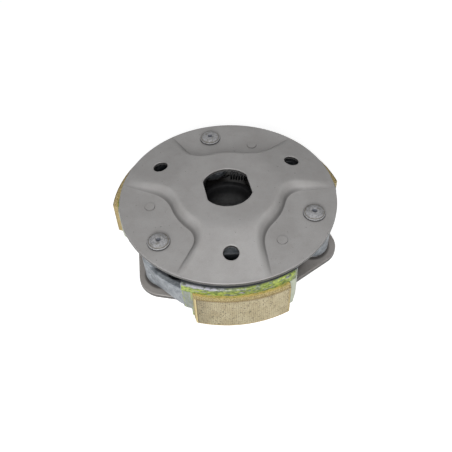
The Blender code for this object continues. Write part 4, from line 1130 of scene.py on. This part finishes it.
def block_mesh(name, radii, degrees, heights, fillet, wobble, slants=(0.0, 0.0)):
    """A curved block swept round the drum's centre, with rounded, slightly uneven edges.

    The slants are how far its inner side runs on past its outer side, at its start and its end.
    """
    (inner, outer), (start_deg, end_deg), (bottom, top) = radii, degrees, heights
    start_slant, end_slant = slants
    half_r, half_z = (outer - inner) / 2, (top - bottom) / 2
    mid_r, mid_z = (outer + inner) / 2, (top + bottom) / 2

    def section(inset):
        radius = max(fillet - inset, 0.02 * MM)
        reach_r, reach_z = half_r - inset - radius, half_z - inset - radius
        points = []
        corners = [(1, -1), (1, 1), (-1, 1), (-1, -1)]
        for k, (this, following) in enumerate(zip(corners, corners[1:] + corners[:1])):
            turn = 90 * k - 90
            for i in range(4):
                r, z = polar(radius, turn + 30.0 * i, (this[0] * reach_r, this[1] * reach_z))
                points.append((r + mid_r, z + mid_z))
            r, z = polar(radius, turn + 90.0, (following[0] * reach_r, following[1] * reach_z))
            dr, dz = r + mid_r - points[-1][0], z + mid_z - points[-1][1]
            last_r, last_z = points[-1]
            fill = 5 if k % 2 else 30
            points += [(last_r + dr * (i / fill), last_z + dz * (i / fill)) for i in range(1, fill)]
        return points

    length = math.radians(end_deg - start_deg) * outer
    ends = [(fillet * (1 - math.sin(t)), fillet * (1 - math.cos(t))) for t in (0, 0.52, 1.05, 1.57)]
    middle = [(0.0, fillet + (length - 2 * fillet) * i / BLOCK_STEPS) for i in range(1, BLOCK_STEPS)]
    stations = ends + middle + [(inset, length - at) for inset, at in ends[::-1]]
    bm = bmesh.new()
    rings = []
    for inset, at in stations:
        share = at / length
        ring = []
        for radius, z in section(inset):
            inward = (outer - radius) / (outer - inner)
            first = start_deg - start_slant * inward
            last = end_deg + end_slant * inward
            x, y = polar(radius, first + (last - first) * share, DRUM_CENTRE)
            place = Vector((x, y, z))
            shift = [noise.noise(place / (1.8 * MM) + apart) * wobble for apart in WOBBLE_APART]
            ring.append(bm.verts.new(place + Vector(shift)))
        rings.append(ring)
    return skinned(bm, name, rings)


# Return spring


def lug_place(radius, deg):
    return Vector((*in_station(radius, deg), SPRING_MID_HEIGHT))


def spring_points(start, end):
    """The wire's centre line: a hook through one lug, the close coil, a hook through the other."""
    along = (end - start).normalized()
    up = Vector((0.0, 0.0, 1.0))
    side = up.cross(along)
    span = 2 * HOOK_RADIUS
    coil_length = (end - start).length - 2 * span
    points = []
    centre = start + along * HOOK_RADIUS
    for i in range(HOOK_STEPS + 1):
        turn = math.radians(180.0 - HOOK_TURN_DEG * (1 - i / HOOK_STEPS))
        points.append(centre - along * HOOK_RADIUS * math.sin(turn) - up * HOOK_RADIUS * math.cos(turn))
    steps = SPRING_TURNS * COIL_SIDES
    coil_start = start + along * span
    for i in range(steps + 1):
        turn = 2 * math.pi * i / COIL_SIDES
        centre = coil_start + along * coil_length * i / steps
        points.append(centre + (up * math.cos(turn) + side * math.sin(turn)) * SPRING_COIL_RADIUS)
    centre = end - along * HOOK_RADIUS
    for i in range(HOOK_STEPS + 1):
        turn = math.radians(HOOK_TURN_DEG * i / HOOK_STEPS)
        points.append(centre + along * HOOK_RADIUS * math.sin(turn) + up * HOOK_RADIUS * math.cos(turn))
    return points


def wire_mesh(name, points, first, last, sides=12):
    """A round wire along the points from the first to the last, with a flat face at each end."""
    bm = bmesh.new()
    rings = []
    normal = None
    for i in range(first, last + 1):
        along = (points[min(i + 1, len(points) - 1)] - points[max(i - 1, 0)]).normalized()
        if normal is None:
            normal = along.orthogonal()
        normal = (normal - along * normal.dot(along)).normalized()
        across = along.cross(normal)
        ring = []
        for k in range(sides):
            turn = 2 * math.pi * k / sides
            offset = normal * math.cos(turn) + across * math.sin(turn)
            ring.append(bm.verts.new(points[i] + offset * SPRING_WIRE_RADIUS))
        rings.append(ring)
    return skinned(bm, name, rings)


def washer_mesh(name, bottom):
    inner = PIN_RADIUS + RUNNING_GAP
    return ring_mesh(name, inner, WASHER_RADIUS, bottom, bottom + WASHER_THICKNESS, 0.12 * MM)


stop_shift = Matrix.Translation((*in_station(STOP_PITCH_RADIUS, STOP_DEG), 0.0))
lining_inner = DRUM_RADIUS - LINING_THICKNESS - 0.12 * MM
lining_top = SKIRT_BOTTOM + LINING_HEIGHT
pin = pin_mesh()
low_washer = washer_mesh("low_washer", BASE_TOP + SEAT_GAP)
high_washer = washer_mesh("high_washer", BOSS_TOP + SEAT_GAP)
bush = ring_mesh("bush", PIN_RADIUS + RUNNING_GAP, BUSH_RADIUS, BOSS_BOTTOM, BOSS_TOP, 0.2 * MM)
casting = casting_mesh()
lining = block_mesh(
    "lining",
    (lining_inner, DRUM_RADIUS),
    (LINING_START_DEG, LINING_END_DEG),
    (SKIRT_BOTTOM, lining_top),
    0.3 * MM,
    0.05 * MM,
    (LINING_START_SLANT_DEG, LINING_END_SLANT_DEG),
)
glue = block_mesh(
    "glue",
    (lining_inner - 0.25 * MM, lining_inner + 0.3 * MM),
    (LINING_START_DEG - 1.6, LINING_END_DEG + 0.9),
    (lining_top - 0.6 * MM, lining_top + 0.25 * MM),
    0.2 * MM,
    0.22 * MM,
)
stop = stop_mesh()
damper = damper_mesh()

# The return spring is cut in its coil into two pieces, one with each hook
free_lug = lug_place(FREE_LUG_PITCH_RADIUS, FREE_LUG_DEG)
boss_lug = lug_place(BOSS_LUG_PITCH_RADIUS, STATION_STEP_DEG + BOSS_LUG_DEG)
wire = spring_points(free_lug, boss_lug)
cut = 2 * len(wire) // 3
free_wire = wire_mesh("spring_free_end", wire, 0, cut)
boss_wire = wire_mesh("spring_boss_end", wire, cut, len(wire) - 1)

for n in range(1, STATIONS + 1):
    here = station_matrix(n)
    shoe_body = f"swing_shoe_{n}"
    aside = here @ stop_shift
    for node, way, mesh, finish, slot, body, matrix in (
        ("pivot_pin", "turned", pin, "rivet", steel, "carrier", here),
        ("lower_washer", "turned", low_washer, steel, steel, "carrier", here),
        ("upper_washer", "turned", high_washer, steel, steel, "carrier", here),
        ("bush", "turned", bush, "bronze", "bronze", shoe_body, here),
        ("shoe", "casting", casting, "cast_metal", "cast_metal", shoe_body, here),
        ("lining", "woven", lining, "friction_lining", "friction_lining", shoe_body, here),
        ("glue_line", None, glue, "glue", "friction_lining", shoe_body, here),
        ("stop_pin", "turned", stop, steel, steel, "carrier", aside),
        ("damper", "moulded", damper, "rubber", "rubber", "carrier", aside),
    ):
        name = f"{node}_{n}_{way}" if way else f"{node}_{n}"
        put(name, mesh, finish, body, [f"{node}_{n}"] if way else (), matrix)
    following = f"swing_shoe_{n % STATIONS + 1}"
    halves = (("wound", free_wire, shoe_body, free_lug), ("hook", boss_wire, following, boss_lug))
    for end, mesh, body, lug in halves:
        spring = placed(f"return_spring_{n}_{end}", mesh, "spring_steel", here)
        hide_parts(f"return_spring_{n}")
        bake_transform(spring)


# Floor, light and camera


def stage_material():
    """Pale and matt. It shows white where it is seen, also in reflections, and keeps the shadow."""
    s = Shading("studio_floor")
    nodes = s.tree.nodes
    nodes.remove(nodes["Principled BSDF"])
    matt = s.node("BsdfDiffuse", {"Color": (0.62, 0.62, 0.62)})
    glow = s.node("Emission", {"Strength": s.times(s.seen(), 0.76)})
    both = s.node("AddShader", {0: matt[0], 1: glow[0]})
    s.feed(nodes["Material Output"].inputs["Surface"], both[0])
    return s.material


floor_mesh = bpy.data.meshes.new("floor")
floor_corners = [polar(FLOOR_RADIUS, deg) for deg in (225.0, 315.0, 45.0, 135.0)]
floor_mesh.from_pydata([(x, y, FLOOR_HEIGHT) for x, y in floor_corners], [], [(0, 1, 2, 3)])
floor_mesh.materials.append(stage_material())
floor = linked("floor", floor_mesh)

world = bpy.data.worlds.new("studio")
scene.world = world
sky = Nodes(world)
background = sky.tree.nodes["Background"].inputs
sky.feed(background["Color"], (1.0, 1.0, 1.0))
sky.feed(background["Strength"], sky.spread(sky.seen(), SKY_LIGHT, 1.0))


def area_light(name, place, target, size, energy):
    data = bpy.data.lights.new(name, "AREA")
    data.shape = "DISK"
    data.size = size
    data.energy = energy
    lamp = linked(name, data)
    lamp.location = place
    lamp.rotation_mode = "QUATERNION"
    lamp.rotation_quaternion = (Vector(target) - Vector(place)).to_track_quat("-Z", "Y")


area_light("top", (0.1, 0.05, 1.0), (0, 0, 0.03), 0.5, 1.6)
area_light("key", (-0.13, -0.45, 0.31), (0, 0, 0.02), 0.35, 3.1)

camera_data = bpy.data.cameras.new("camera")
camera_data.sensor_width = 36.0
camera_data.lens = 47.6946
camera_data.clip_start = 0.01
camera_data.clip_end = 20.0
camera = linked("camera", camera_data)
right = Vector((0.975923, -0.216629, -0.025603))
up = Vector((0.180404, 0.735529, 0.653035))
back = Vector((-0.122629, -0.641924, 0.756897))
stand = (-0.04724, -0.238156, 0.288034)
camera.matrix_world = Matrix([(right[i], up[i], back[i], stand[i]) for i in range(3)] + [(0, 0, 0, 1)])
scene.camera = camera
scene.view_settings.view_transform = "Standard"
